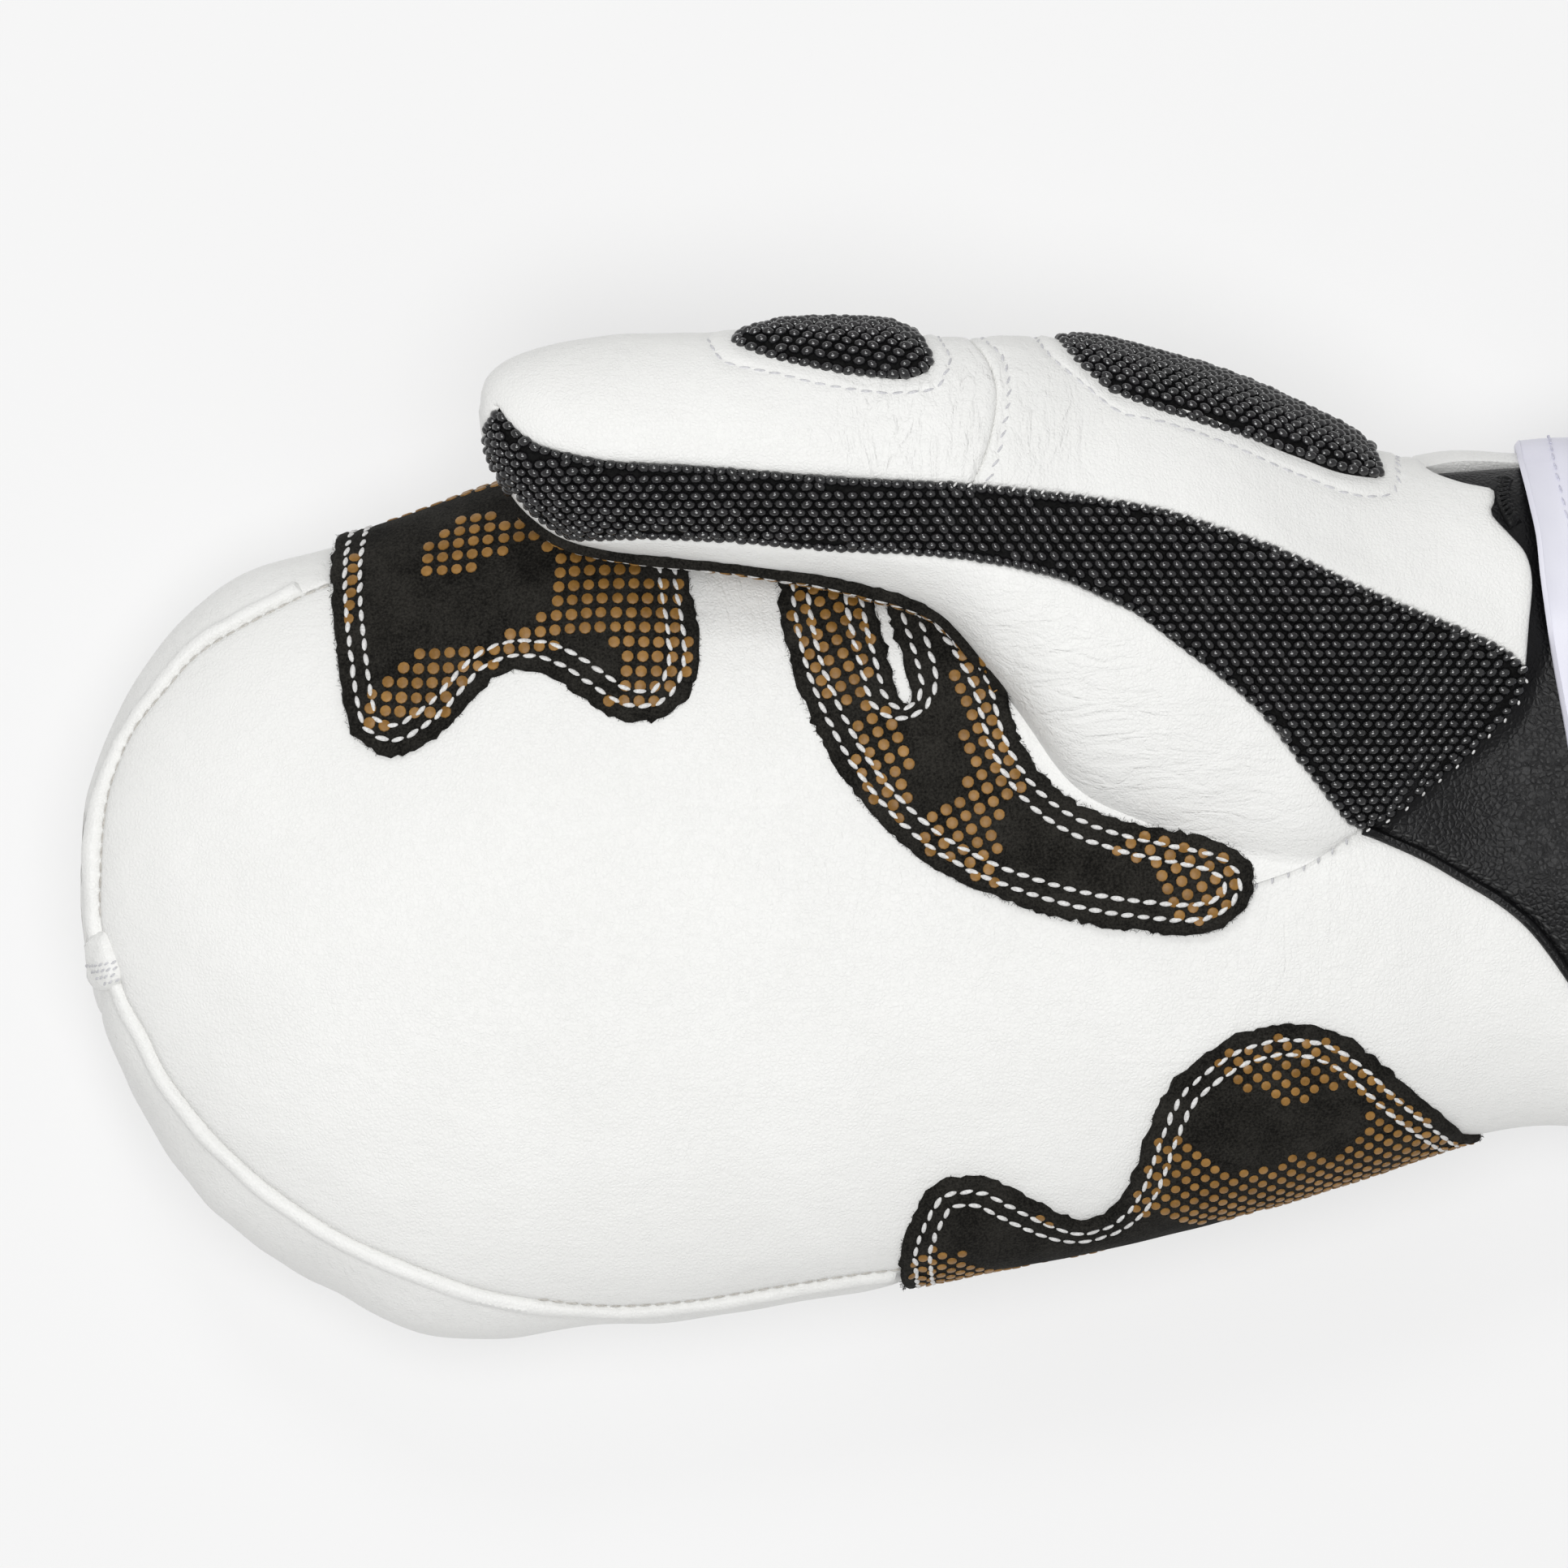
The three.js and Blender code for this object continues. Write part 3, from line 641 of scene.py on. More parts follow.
# Thumb: white leather in two pieces over its back, joined at the knuckle, and one under it down to
# its root, where it is sewn to the palm.
THUMB_SECTIONS = np.array([
    (61.8, 63.7, 64.7, 53.5, 53, 52.5), (62.3, 60, 68, 58, 53, 48), (63.5, 56.4, 70.2, 61.5, 53, 45),
    (65.6, 52.8, 71.8, 64, 53, 42.5), (69.3, 48.4, 73.4, 66.2, 53, 40), (75.5, 44.5, 75.1, 67.6, 53, 38.5),
    (84.3, 42.4, 76.6, 68, 53, 37.8), (95.5, 41.2, 76.8, 68, 53, 37.5), (108, 39.6, 76.4, 68, 53, 37),
    (120.5, 37, 76.2, 68, 52.5, 36), (133, 32.5, 76, 68, 51.5, 33), (143, 20, 76, 67.5, 48, 29),
    (153, 4, 75.3, 66.5, 44, 25), (165.5, -3, 72.3, 65.5, 41, 21), (178, -9, 68.5, 63.5, 38, 19),
    (190.5, -13, 63, 61, 35, 18), (201, -10, 58.5, 58, 33, 18), (212, -2, 57.5, 54.5, 31, 18),
    (228, 4, 57.5, 50.5, 30, 18),
], float)
THUMB_ROUNDNESS = (2.1, 2.1)
thumb = Skin(THUMB_SECTIONS, THUMB_ROUNDNESS, 90)
STRIPE_TOP = curve([
    (64.5, 65.3), (66.1, 62.8), (69.9, 59.6), (75.5, 57.8), (83, 56.5), (94.3, 55.9), (106.8, 54.9),
    (119.3, 54), (131.8, 53.4), (137.6, 53.1), (144.3, 52.5), (156.8, 51), (166.8, 49.3), (175.5, 46.6),
    (188, 41.9), (200.5, 36.1), (213, 31), (219.3, 28), (223, 24.9)])
STRIPE_BOTTOM = curve([
    (198, 0.3), (196.1, 0.9), (194.3, 3), (188, 10.9), (181.8, 18.6), (175.5, 24), (169.3, 28.6), (163, 33.4),
    (156.8, 36.4), (150.5, 39), (138, 41.5), (125.5, 42.6), (113, 43.4), (100.5, 44.5), (88, 45.1),
    (79.3, 44.6), (75.5, 45), (73, 46.4), (69.3, 49.3), (66.5, 52.6)])
STRIPE_END = curve([
    (223, 24.9), (222.4, 21.8), (220.5, 18.3), (217.4, 15.1), (213, 10.8), (208, 6.8), (203, 2.6), (198, 0.3)])
THUMB_END = curve([
    (223, 24.9), (223.5, 31.8), (224, 38.6), (223, 43), (220.5, 46.1), (217.8, 49.3), (218.4, 51.1),
    (218.4, 53), (216.8, 53.5), (213, 54.3), (208.6, 56), (207, 58)])
PALM_JOIN = curve([(198, 0.3), (193, -3.3), (188, -6.2), (181.1, -8.7)])
KNUCKLE_SEAM = curve([
    (137.6, 53.1), (139.3, 56.8), (140.5, 60.5), (141.5, 65.5), (141.3, 69.3), (139.9, 73), (137.5, 75.9)])
knuckle = np.argmin(np.hypot(*(STRIPE_TOP - (137.6, 53.1)).T))
thumb_seam = thumb.seen(STRIPE_TOP)
knuckle_seam = joined(thumb.seen(KNUCKLE_SEAM), thumb.turned(spaced([(137, -6), (134, -60)], 3)))
tip_edge = thumb.turned(through([
    (66.5, 188), (66.2, 196), (65, 201), (63.6, 198), (62.7, 182), (62.3, 155), (62.3, 128), (62.6, 108),
    (63.3, 91), (64.2, 77)], 5))
tip_loop = joined(
    thumb_seam[:knuckle + 1],
    knuckle_seam,
    thumb.turned(spaced([(134, -60), (62, -60)], 2)),
    thumb.turned([(61.8, a) for a in range(-60, 301, 12)]),
    thumb.turned(spaced([(62, 300), (66.5, 300)], 1)),
    thumb.turned(spaced([(66.5, 300), (66.5, 192)], 3)),
    tip_edge,
)
base_loop = joined(
    thumb_seam[knuckle:],
    thumb.seen(THUMB_END),
    thumb.turned(spaced([(206, -4), (206, -60)], 3)),
    thumb.turned(spaced([(206, -60), (134, -60)], 2)),
    knuckle_seam[::-1],
)
under_loop = joined(
    thumb.seen(STRIPE_BOTTOM),
    thumb.turned(spaced([(66.5, 186), (66.5, 300)], 3)),
    thumb.turned(spaced([(66.5, 300), (150, 300)], 2)),
    thumb.turned(spaced([(150, 300), (172, 236), (176, 200)], 3)),
    thumb.seen(PALM_JOIN[::-1]),
)

KNUCKLE_PAD = curve([
    (100.7, 75.2), (101.2, 74.4), (104.3, 73), (108.6, 71.5), (114.3, 70.3), (120.5, 69.3), (125.5, 69),
    (129.3, 69.5), (131.4, 70.8), (131.8, 72), (130.8, 74.3), (129.4, 75.9)])
BASE_PAD = curve([
    (150.3, 76), (153, 72.6), (156.1, 69.5), (159.3, 67), (163, 65.4), (169.3, 63.3), (175.5, 61.3),
    (181.8, 59.4), (188, 57.4), (194.3, 55.3), (199.3, 54.3), (201.1, 54.4), (200.9, 56.5), (199.8, 58.6)])


def far_side(points, step):
    """A smooth line on the thumb's hidden side, through points given as x and an angle in degrees."""
    return thumb.turned(spaced(through(points, 6), step))


knuckle_pad_loop = joined(thumb.seen(KNUCKLE_PAD), far_side([
    (129.6, -4), (127.6, -15), (122.8, -22.5), (116, -23.5), (110, -17), (106, -8), (103.4, 3), (101.2, 15)], 1.5))
base_pad_loop = joined(thumb.seen(BASE_PAD), far_side([
    (200.4, 0), (199, -9), (193.5, -18), (183, -25), (171, -27), (160, -21), (153.5, -11), (150.8, -3)], 1.5))
KNUCKLE_PAD_STITCHES = curve([
    (97, 76), (98.625, 73), (101.125, 71.5), (108, 69.875), (113, 68.625), (119.25, 67.625), (125.5, 67.25),
    (131.75, 68), (133.625, 70.5), (134.25, 73), (132.375, 76.125)])
BASE_PAD_STITCHES = curve([
    (147.375, 75.875), (150.5, 72.375), (155.5, 68), (160.5, 64.25), (166.75, 62.75), (175.5, 59.875),
    (183, 57), (190.5, 54.25), (196.75, 52.125), (201.75, 52), (203.375, 53.625), (203.25, 55.5)])
KNUCKLE_STITCHES = curve([
    (139.25, 75.875), (142.375, 73), (143.375, 68), (142.75, 63), (141.75, 58), (139.875, 53.25)])
pad_rows = [
    np.vstack([thumb.seen(KNUCKLE_PAD_STITCHES), far_side(
        [(132.6, -3), (131, -22), (124.5, -35), (116, -36), (105, -26), (97.3, -3)], 1)]),
    np.vstack([thumb.seen(BASE_PAD_STITCHES), far_side(
        [(203.6, -5), (200, -25), (187, -37), (170, -40), (155, -31), (147.4, -5)], 1)]),
    np.vstack([thumb.seen(KNUCKLE_STITCHES[::-1]), thumb.turned(spaced([(139.3, -5), (138.5, -58)], 2))]),
]


def thumb_relief(flat, place, depth):
    inner = np.clip(depth / 6, 0, 1)
    dips = sum(-0.32 * np.exp(-(away(flat, row, False) / 0.7) ** 2) for row in pad_rows)
    near_pads = np.minimum(away(flat, knuckle_pad_loop), away(flat, base_pad_loop))
    swell = 0.35 * np.exp(-((near_pads - 2.0) / 1.3) ** 2)
    return inner * (ripple(place, 38, 31, 0.35) + ripple(place, 12, 32, 0.07)) + dips + swell


THUMB_CREASES = [(133, 66, 13, 1.0), (150, 62, 10, 0.7), (126, 60, 12, 0.7), (176, 52, 16, 0.15),
                 (205, 46, 18, 0.2), (158, 14, 18, 0.6), (176, 4, 16, 0.5), (146, 28, 12, 0.6), (85, 68, 18, 0.1)]
ROOT_WHITE = leather("thumb_root_leather", LIGHT, SHADE, 1500.0, 0.00005, 0.4, 0.00017, 0.4)
SOFT = ([0, 0.3, 0.8, 1.7], [-0.75, -0.35, -0.1, 0])        # an edge that goes down gently into its seam
thumb_look = dict(step=1.5, edge=SOFT, rows=pad_rows, relief=thumb_relief,
                  crease=lambda place: spots(place, THUMB_CREASES))
thumb_tip = panel("thumb_tip_leather", thumb, tip_loop, WHITE, "white_leather", ["thumb_tip_panel"],
                  seams=[thumb_seam[:knuckle + 1], knuckle_seam, tip_edge], pole=True, **thumb_look)
thumb_base = panel("thumb_base_leather", thumb, base_loop, WHITE, "white_leather", ["thumb_base_panel"],
                   seams=[thumb_seam[knuckle:], knuckle_seam, thumb.seen(THUMB_END)], **thumb_look)


def flush_with_palm(point):
    """Raises the thumb's root to the level of the palm that it is sewn to."""
    x, y, z = point.T
    share = np.clip((x - 160) / 14, 0, 1) * np.clip((z - 28) / 6, 0, 1)
    point = point.copy()
    point[:, 2] += share * np.maximum(hand.top(x, y)[0] + 0.6 - z, 0)
    return point


panel("thumb_under_leather", thumb, under_loop, ROOT_WHITE, "white_leather", ["thumb_under_panel"],
      settle=flush_with_palm, seams=[thumb.seen(STRIPE_BOTTOM), thumb.seen(PALM_JOIN)], **thumb_look)


# Thumb insert: a long strip of black beaded fabric along the thumb, sewn between the leather pieces.
# Small glossy beads of plastic are fused to the cloth in staggered rows.
def grained(name, dark, light, grain, rough, raised=None, cloud=None, share=1.0, spread=(0.35, 0.65), **sockets):
    """A surface of fine threads, fibres or specks. Its colour goes from dark to light with the grain,
    with a broader cloud, or with a share of the one and the rest of the other. The grain makes it
    rougher, as a change and a least value, and may stand up from it by a strength and a distance."""
    material, shader, at = new_material(name, **sockets)
    fine = noise(at, *grain)
    tone = fine
    if cloud:
        broad = noise(at, *cloud)
        tone = fine * share + broad * (1 - share) if share else broad
    connect(shader, Base_Color=tone.between(*spread).blend(dark, light), Roughness=fine * rough[0] + rough[1])
    if raised:
        connect(shader, Normal=bump(fine, *raised))
    return material


bead_plastic = grained("fused_beads", (0.005, 0.005, 0.0055), (0.011, 0.011, 0.012), (2200.0, 3.0), (0.12, 0.05),
                       raised=(0.5, 0.00006), cloud=(300.0, 2.0), share=0.0, Specular_IOR_Level=0.95)
base_cloth = grained("insert_base_cloth", (0.003, 0.003, 0.003), (0.009, 0.009, 0.009), (1600.0, 3.0), (0.1, 0.85),
                     raised=(1.0, 0.00015), Specular_IOR_Level=0.1)
stripe_loop = joined(
    thumb_seam,
    thumb.seen(STRIPE_END),
    thumb.seen(STRIPE_BOTTOM),
    tip_edge,
)
SEWN_IN = ([0, 0.4, 1.0, 1.8], [-0.6, -0.4, -0.25, -0.2])
stripe = panel("thumb_insert", thumb, stripe_loop, base_cloth, "black_mesh", ["thumb_stripe"], step=1.8,
               edge=SEWN_IN, seams=[thumb_seam, thumb.seen(STRIPE_END), thumb.seen(STRIPE_BOTTOM), tip_edge],
               relief=lambda flat, place, depth: ripple(place, 30, 41, 0.25))


def stamp(name, shape, lay, flat, material, turn=0.0, tilt=0.0, size=1.0, rise=0.0, angle=60):
    """One small shape set many times on a surface, as one mesh. turn, tilt and size may vary."""
    shape.verts.ensure_lookup_table()
    local = np.array([tuple(v.co) for v in shape.verts])
    faces = [[v.index for v in face.verts] for face in shape.faces]
    point, near = lay(flat), 0.25
    along = lay(flat + (near, 0)) - lay(flat - (near, 0))
    across = lay(flat + (0, near)) - lay(flat - (0, near))
    along, out = unit(along), unit(np.cross(along, across))
    across = np.cross(out, along)
    turn, tilt, size, rise = (np.broadcast_to(np.asarray(value, float), len(flat))[:, None]
                              for value in (turn, tilt, size, rise))
    first = along * np.cos(turn) + across * np.sin(turn)
    second = np.cross(out, first)
    leaned = first * np.cos(tilt) + out * np.sin(tilt)
    out = np.cross(leaned, second)
    spread = (leaned[:, None] * local[None, :, :1] + second[:, None] * local[None, :, 1:2]
              + out[:, None] * local[None, :, 2:])
    verts = (point + rise * out)[:, None] + spread * size[:, None]
    bm = bmesh.new()
    made = [bm.verts.new(v) for v in verts.reshape(-1, 3)]
    for start in range(0, len(made), len(local)):
        for face in faces:
            bm.faces.new([made[start + k] for k in face])
    shape.free()
    add_object(name, bm, material, angle=angle)


BEAD = (2.2, 1.55, 1.75)            # length, width and height
BEAD_PITCH, BEAD_ROW = 2.0, 1.36
SEAM_PITCH, SEAM_GAP = 1.7, 0.8     # along the row at the seam, and from that row to the level ones
TIP_REGION, TIP_GAP = 18, 1.3       # how far from the thumb's tip beads crowd, and the least gap there


def bead_shape():
    """A low oval bead, cut off a little below its middle."""
    bm = bmesh.new()
    bmesh.ops.create_uvsphere(bm, u_segments=8, v_segments=6, radius=0.5)
    bmesh.ops.bisect_plane(bm, geom=[*bm.verts, *bm.edges, *bm.faces], plane_co=(0, 0, -0.12), plane_no=(0, 0, 1),
                           clear_inner=True)
    bmesh.ops.scale(bm, vec=BEAD, verts=bm.verts[:])
    bm.verts.index_update()
    return bm


def level_rows(line):
    """How far round the thumb a row drifts from its start, to stay level with the seam's pattern."""
    x = np.arange(62.0, 225, 1.0)
    y = np.interp(x, line[:, 0], line[:, 1])
    step = thumb.seen(np.stack([x + 1, y], axis=1)) - thumb.seen(np.stack([x - 1, y], axis=1))
    slope = step[:, 1] / step[:, 0]
    slope[x < 72] = slope[x >= 72][0]
    w = np.interp(x, thumb.rows[:, 0], thumb.w)
    drift = np.concatenate([[0], np.cumsum(np.diff(w) * (slope[1:] + slope[:-1]) / 2)])
    return lambda at: np.interp(at, w, drift)


middle_x = np.arange(62.0, 226, 2.0)
upper_y = np.interp(middle_x, STRIPE_TOP[:, 0], STRIPE_TOP[:, 1])
lower_y = np.interp(middle_x, STRIPE_BOTTOM[::-1, 0], STRIPE_BOTTOM[::-1, 1])
insert_drift = level_rows(np.stack([middle_x, (upper_y + lower_y) / 2], axis=1))


def winding(loop):
    """1 for an outline that runs anticlockwise, -1 for a clockwise one."""
    return np.sign(np.sum(loop[:, 0] * np.roll(loop[:, 1], -1) - np.roll(loop[:, 0], -1) * loop[:, 1]))


def bead_places(lay, loop, drift, inset):
    """One row of beads along the seam, the rest in level rows, and fewer where the tip would crowd them."""
    row = spaced(shifted(np.vstack([loop, loop[:1]]), -inset * winding(loop)), SEAM_PITCH)
    row = row[inside(row, loop)]
    row = row[away(row, loop) > 0.85 * inset]
    level = loop - np.stack([0 * loop[:, 0], drift(loop[:, 0])], axis=1)
    low, high = level.min(axis=0), level.max(axis=0)
    rows = np.arange(np.floor(low[1] / BEAD_ROW), np.ceil(high[1] / BEAD_ROW) + 1)
    columns = np.arange(np.floor(low[0] / BEAD_PITCH), np.ceil(high[0] / BEAD_PITCH) + 1)
    column, line = np.meshgrid(columns, rows)
    flat = np.stack([(column + line % 2 / 2) * BEAD_PITCH, line * BEAD_ROW], axis=-1).reshape(-1, 2)
    flat[:, 1] += drift(flat[:, 0])
    keep = inside(flat, loop) & (away(flat, loop) > inset + 0.2)
    flat, odd = flat[keep], (column % 2).ravel()[keep]
    keep = [np.hypot(*((row - point) * (0.72, 1)).T).min() > SEAM_GAP for point in flat]
    flat, odd = flat[keep], odd[keep]
    first = np.argsort(-flat[:, 0])
    flat = np.vstack([row, flat[first]])
    odd = np.concatenate([np.arange(len(row)) % 2, odd[first]])
    place = lay(flat)
    kept = []
    for k in range(len(flat)):
        if flat[k, 0] > TIP_REGION or not kept or np.linalg.norm(place[kept] - place[k], axis=1).min() > TIP_GAP:
            kept.append(k)
    return flat[kept], odd[kept]


def beads(name, lay, loop, seed, drift, inset=0.5):
    flat, odd = bead_places(lay, loop, drift, inset)
    rng = np.random.default_rng(seed)
    stamp(name, bead_shape(), lay, flat, bead_plastic,
          turn=rng.normal(0, 0.14, len(flat)) + np.where(odd, 0.2, -0.2),
          tilt=rng.normal(0, 0.10, len(flat)) + np.where(odd, 0.16, -0.16),
          size=rng.normal(1.0, 0.06, len(flat)), rise=rng.normal(0.05, 0.05, len(flat)))


beads("thumb_insert_beads", stripe, stripe_loop, 51, insert_drift)


# Thumb pads: two teardrop cushions of the same beaded fabric over the knuckle and the base joint,
# each filled with foam and sewn down round its edge.
def pad_form(rise):
    return ([0, 0.4, 1.2, 2.4, 4.5, 7], [-0.6, 0.0, 0.3 * rise, 0.55 * rise, 0.85 * rise, rise])


for name, loop, node, rise, slope in (("knuckle_cushion", knuckle_pad_loop, "knuckle_pad", 2.3, 0.1),
                                      ("thumb_base_cushion", base_pad_loop, "thumb_base_pad", 1.4, -0.12)):
    pad = panel(name, thumb, loop, base_cloth, "black_mesh", [node], step=1.4, edge=pad_form(rise), thickness=1.2)
    beads(name + "_beads", pad, loop, 52, lambda at: -slope * (at - loop[:, 0].min()), 1.0)


# Suede grips: soft black suede laid on the palm, the thumb and the heel of the hand where the ski
# pole wears, with printed silicone dots and two rows of white thread round the edge.
suede = grained("black_suede", (0.004, 0.0037, 0.003), (0.032, 0.030, 0.026), (2600.0, 4.0, 0.7), (0.1, 0.85),
                raised=(1.0, 0.00022), cloud=(160.0, 3.0), share=0.7, spread=(0.4, 0.62), Specular_IOR_Level=0.12)
silicone = grained("silicone_dots", (0.195, 0.095, 0.018), (0.34, 0.178, 0.046), (1800.0, 2.0), (0.2, 0.3),
                   raised=(0.6, 0.00008), cloud=(240.0, 3.0), share=0.25, spread=(0.38, 0.66),
                   Specular_IOR_Level=0.3)


def thread(name, dark, light, rough, raised=None):
    """Sewing thread, twisted so finely that its strands only show as a change of tone."""
    return grained(name, dark, light, (2400.0, 3.0), (0.2, rough), raised)


white_thread = thread("white_thread", (0.56, 0.55, 0.54), (0.82, 0.82, 0.81), 0.45, raised=(0.7, 0.00012))


THUMB_MIDDLE, WIDEST_LINE = 160, 24     # x of the middle of the thumb's root, height of the hand's sides


def on_thumb(fade_start, fade, most, gap):
    """Lifts what lies on the hand over the root of the thumb, by no more than the most. From fade_start
    away from the thumb's middle the lift grows less by fade for each millimetre."""

    def settle(point):
        x, y, z = point.T
        top, v = thumb.top(x, y)
        top = top - gap - fade * np.maximum((x - fade_start) * np.sign(fade_start - THUMB_MIDDLE), 0)
        over = np.where((v < 1) & (z > WIDEST_LINE), np.maximum(top - hand.top(x, y)[0], 0), 0)
        point = point.copy()
        point[:, 2] += most * np.tanh(over / most)
        return point

    return settle


INDEX_PATCH = curve([
    (39.6, 43.7), (39.2, 42), (39, 40.5), (39.1, 34.9), (39.8, 28), (40.8, 20.5), (42, 15.5),
    (43.9, 13.3), (47.4, 11.6), (51.1, 12), (54.3, 14), (57.5, 16.5), (60.5, 19.9), (63.6, 23.3),
    (66.1, 24.4), (69.3, 24.6), (73, 23.5), (78, 20.3), (82.4, 17.5), (86.8, 16.8), (90.5, 17.6),
    (93.6, 20.3), (95.5, 24.9), (95.6, 29.9), (94.6, 36.1), (94.1, 40.5), (93.8, 46), (93.6, 51),
    (93.5, 54.5)])
CROTCH_PATCH = curve([
    (107.5, 48), (107.8, 37.8), (108.4, 31.8), (110.1, 24.3), (113.4, 16.1), (118, 8), (123.6, 1.1),
    (130.5, -4.8), (138, -8.9), (146.8, -12.1), (155.5, -14.3), (164.3, -15.5), (171.1, -15.9),
    (176.1, -14.8), (179.5, -12), (181.1, -8.3), (180.3, -4.8), (177, -2), (171.8, -0.5), (164.3, 0.9),
    (156.8, 3.1), (151.1, 6.4), (147, 10.9), (144.3, 16.5), (143, 21.8), (140.8, 27), (137, 33),
    (132, 40), (128, 48)])
CROTCH_SLOT = curve([
    (122.3, 38), (122.8, 34.9), (124, 29.5), (125.3, 24.9), (126.2, 21), (127, 19.5), (128, 19.7), (128.3, 20.8),
    (127.9, 23), (127.4, 24.9), (126, 29.5), (124.9, 33), (123.8, 38), (123, 39.5), (122.3, 38)])[:-1]
HEEL_PATCH = curve([
    (126.8, -67.6), (126.5, -64.5), (127.8, -60.8), (129.3, -57.6), (131.1, -55.1), (133.6, -53.5),
    (138, -53), (141.8, -53.9), (145.5, -56), (150.5, -58.5), (154.3, -59.8), (156.8, -59.5),
    (159.3, -58), (161.8, -54.5), (163.6, -49.5), (165.5, -44.5), (168, -39.5), (170.5, -36.8),
    (174.3, -33.9), (178, -31.6), (181.8, -30.3), (185.5, -29.6), (189.3, -29.8), (193, -30.6),
    (196.8, -32.4), (200.5, -35.3), (204.3, -38.9), (208, -42.1), (211.8, -45), (214, -46.6)])
index_loop = joined(hand.seen(INDEX_PATCH),
                    hand.side(spaced([(93.5, 30), (93, 12), (41, 12), (39.9, 25)], 1.5), 1))
crotch_loop = joined(hand.seen(CROTCH_PATCH), hand.seen(spaced([(128, 48), (107.5, 48)], 1.5)))
slot_loop = hand.seen(CROTCH_SLOT)
heel_loop = joined(hand.seen(HEEL_PATCH),
                   hand.side(spaced([(216, 27), (217, 14), (128, 12), (126.8, 29)], 1.5), -1))
grip_loop = joined(
    thumb.side(spaced([(68, 51.5), (76, 53.5), (86, 55.5), (100, 57), (122, 57.3), (134, 56), (140, 52)], 1), -1),
    thumb.turned(spaced([(141, 200), (141, 285)], 3)),
    thumb.turned(spaced([(141, 285), (68, 285)], 1.5)),
    thumb.turned(spaced([(68, 285), (67.5, 190)], 3)),
)

STITCH_ROWS = (2.25, 4.55)                  # from the suede's edge
SLOT_STITCH_ROWS = (2.0, 4.3)
PATCH_EDGE = ([0, 0.25, 0.6, 1.2, 2.25, 3.4, 4.55, 5.6, 8],
              [-0.75, -0.15, 0.1, 0.16, -0.22, 0.04, -0.2, 0.0, 0.04])
STITCH = 2.5


def rough(loop, seed, amount=0.2):
    """The uneven line that a cut suede edge has."""
    return loop + np.random.default_rng(seed).normal(0, amount, loop.shape)


def edge_row(loop, by):
    """A closed row of stitches at an even distance from an edge, with its corners rounded off."""
    line = ring_shifted(loop, by, 2)
    line = line[away(line, loop) > 0.95 * abs(by)]
    for _ in range(3):
        line = (np.roll(line, 1, axis=0) + 2 * line + np.roll(line, -1, axis=0)) / 4
    return np.vstack([line, line[:1]])


def even(lay, line, pitch):
    """Places an even pitch apart on a surface, with their directions in flat coordinates."""
    fine = spaced(line, 0.25)
    point = lay(fine)
    run = np.concatenate([[0], np.cumsum(np.linalg.norm(np.diff(point, axis=0), axis=1))])
    at = np.arange(pitch / 2, run[-1], pitch)
    flat = np.stack([np.interp(at, run, column) for column in fine.T], axis=1)
    ahead = np.stack([np.interp(at + 0.4, run, column) for column in fine.T], axis=1)
    way = ahead - flat
    return flat, np.arctan2(way[:, 1], way[:, 0])


def stitch_shape(length, width):
    bm = bmesh.new()
    bmesh.ops.create_uvsphere(bm, u_segments=6, v_segments=6, radius=0.5)
    bmesh.ops.rotate(bm, matrix=Matrix.Rotation(np.pi / 2, 3, "Y"), verts=bm.verts[:])
    bmesh.ops.scale(bm, vec=(length, width, width * 0.8), verts=bm.verts[:])
    bm.verts.index_update()
    return bm


def stitches(name, lay, lines, pitch=STITCH, length=2.1, width=0.78, material=white_thread,
             seed=1, rise=0.12, slant=0.1):
    found = [even(lay, line, pitch) for line in lines]
    flat = np.vstack([f for f, _ in found])
    turn = np.concatenate([t for _, t in found])
    rng = np.random.default_rng(seed)
    stamp(name, stitch_shape(length, width), lay, flat, material,
          turn=turn + slant + rng.normal(0, 0.07, len(flat)), tilt=rng.normal(0, 0.04, len(flat)),
          size=rng.normal(1.0, 0.04, len(flat)), rise=rise)


DOT_HEIGHT, DOT_CROWN = 0.2, 0.09
DOT_MARGIN = 1.6                    # from the suede's edge to the middle of the first dots


def dots(name, lay, loop, holes, turn, pitch, radius, seed):
    """Silicone dots on a square grid, with plain bare areas between them."""
    low, high = loop.min(axis=0), loop.max(axis=0)
    middle, reach = (low + high) / 2, np.linalg.norm(high - low) / 2
    steps = np.arange(-reach, reach, pitch)
    u, v = np.meshgrid(steps, steps)
    c, s = np.cos(turn), np.sin(turn)
    flat = np.stack([middle[0] + u * c - v * s, middle[1] + u * s + v * c], axis=-1).reshape(-1, 2)
    flat = flat[within(flat, loop, holes, DOT_MARGIN)]
    printed = ripple(np.column_stack([flat, 0 * flat[:, 0]]), 26, seed, 1.0) > -0.2
    flat = flat[printed]
    rng = np.random.default_rng(seed)
    shape = bmesh.new()
    bmesh.ops.create_circle(shape, segments=10, radius=radius, cap_ends=True)
    top = bmesh.ops.extrude_face_region(shape, geom=shape.faces[:])["geom"]
    rim = [v for v in top if isinstance(v, bmesh.types.BMVert)]
    bmesh.ops.translate(shape, vec=(0, 0, DOT_HEIGHT), verts=rim)
    bmesh.ops.scale(shape, vec=(0.93, 0.93, 1), verts=rim)
    face = [f for f in top if isinstance(f, bmesh.types.BMFace)]
    bmesh.ops.inset_region(shape, faces=face, thickness=0.25, depth=DOT_CROWN)
    shape.verts.index_update()
    stamp(name, shape, lay, flat + rng.normal(0, 0.03, flat.shape), silicone,
          size=rng.normal(1.0, 0.03, len(flat)), rise=-0.05, angle=40)


FIBRE_PITCH = 0.22


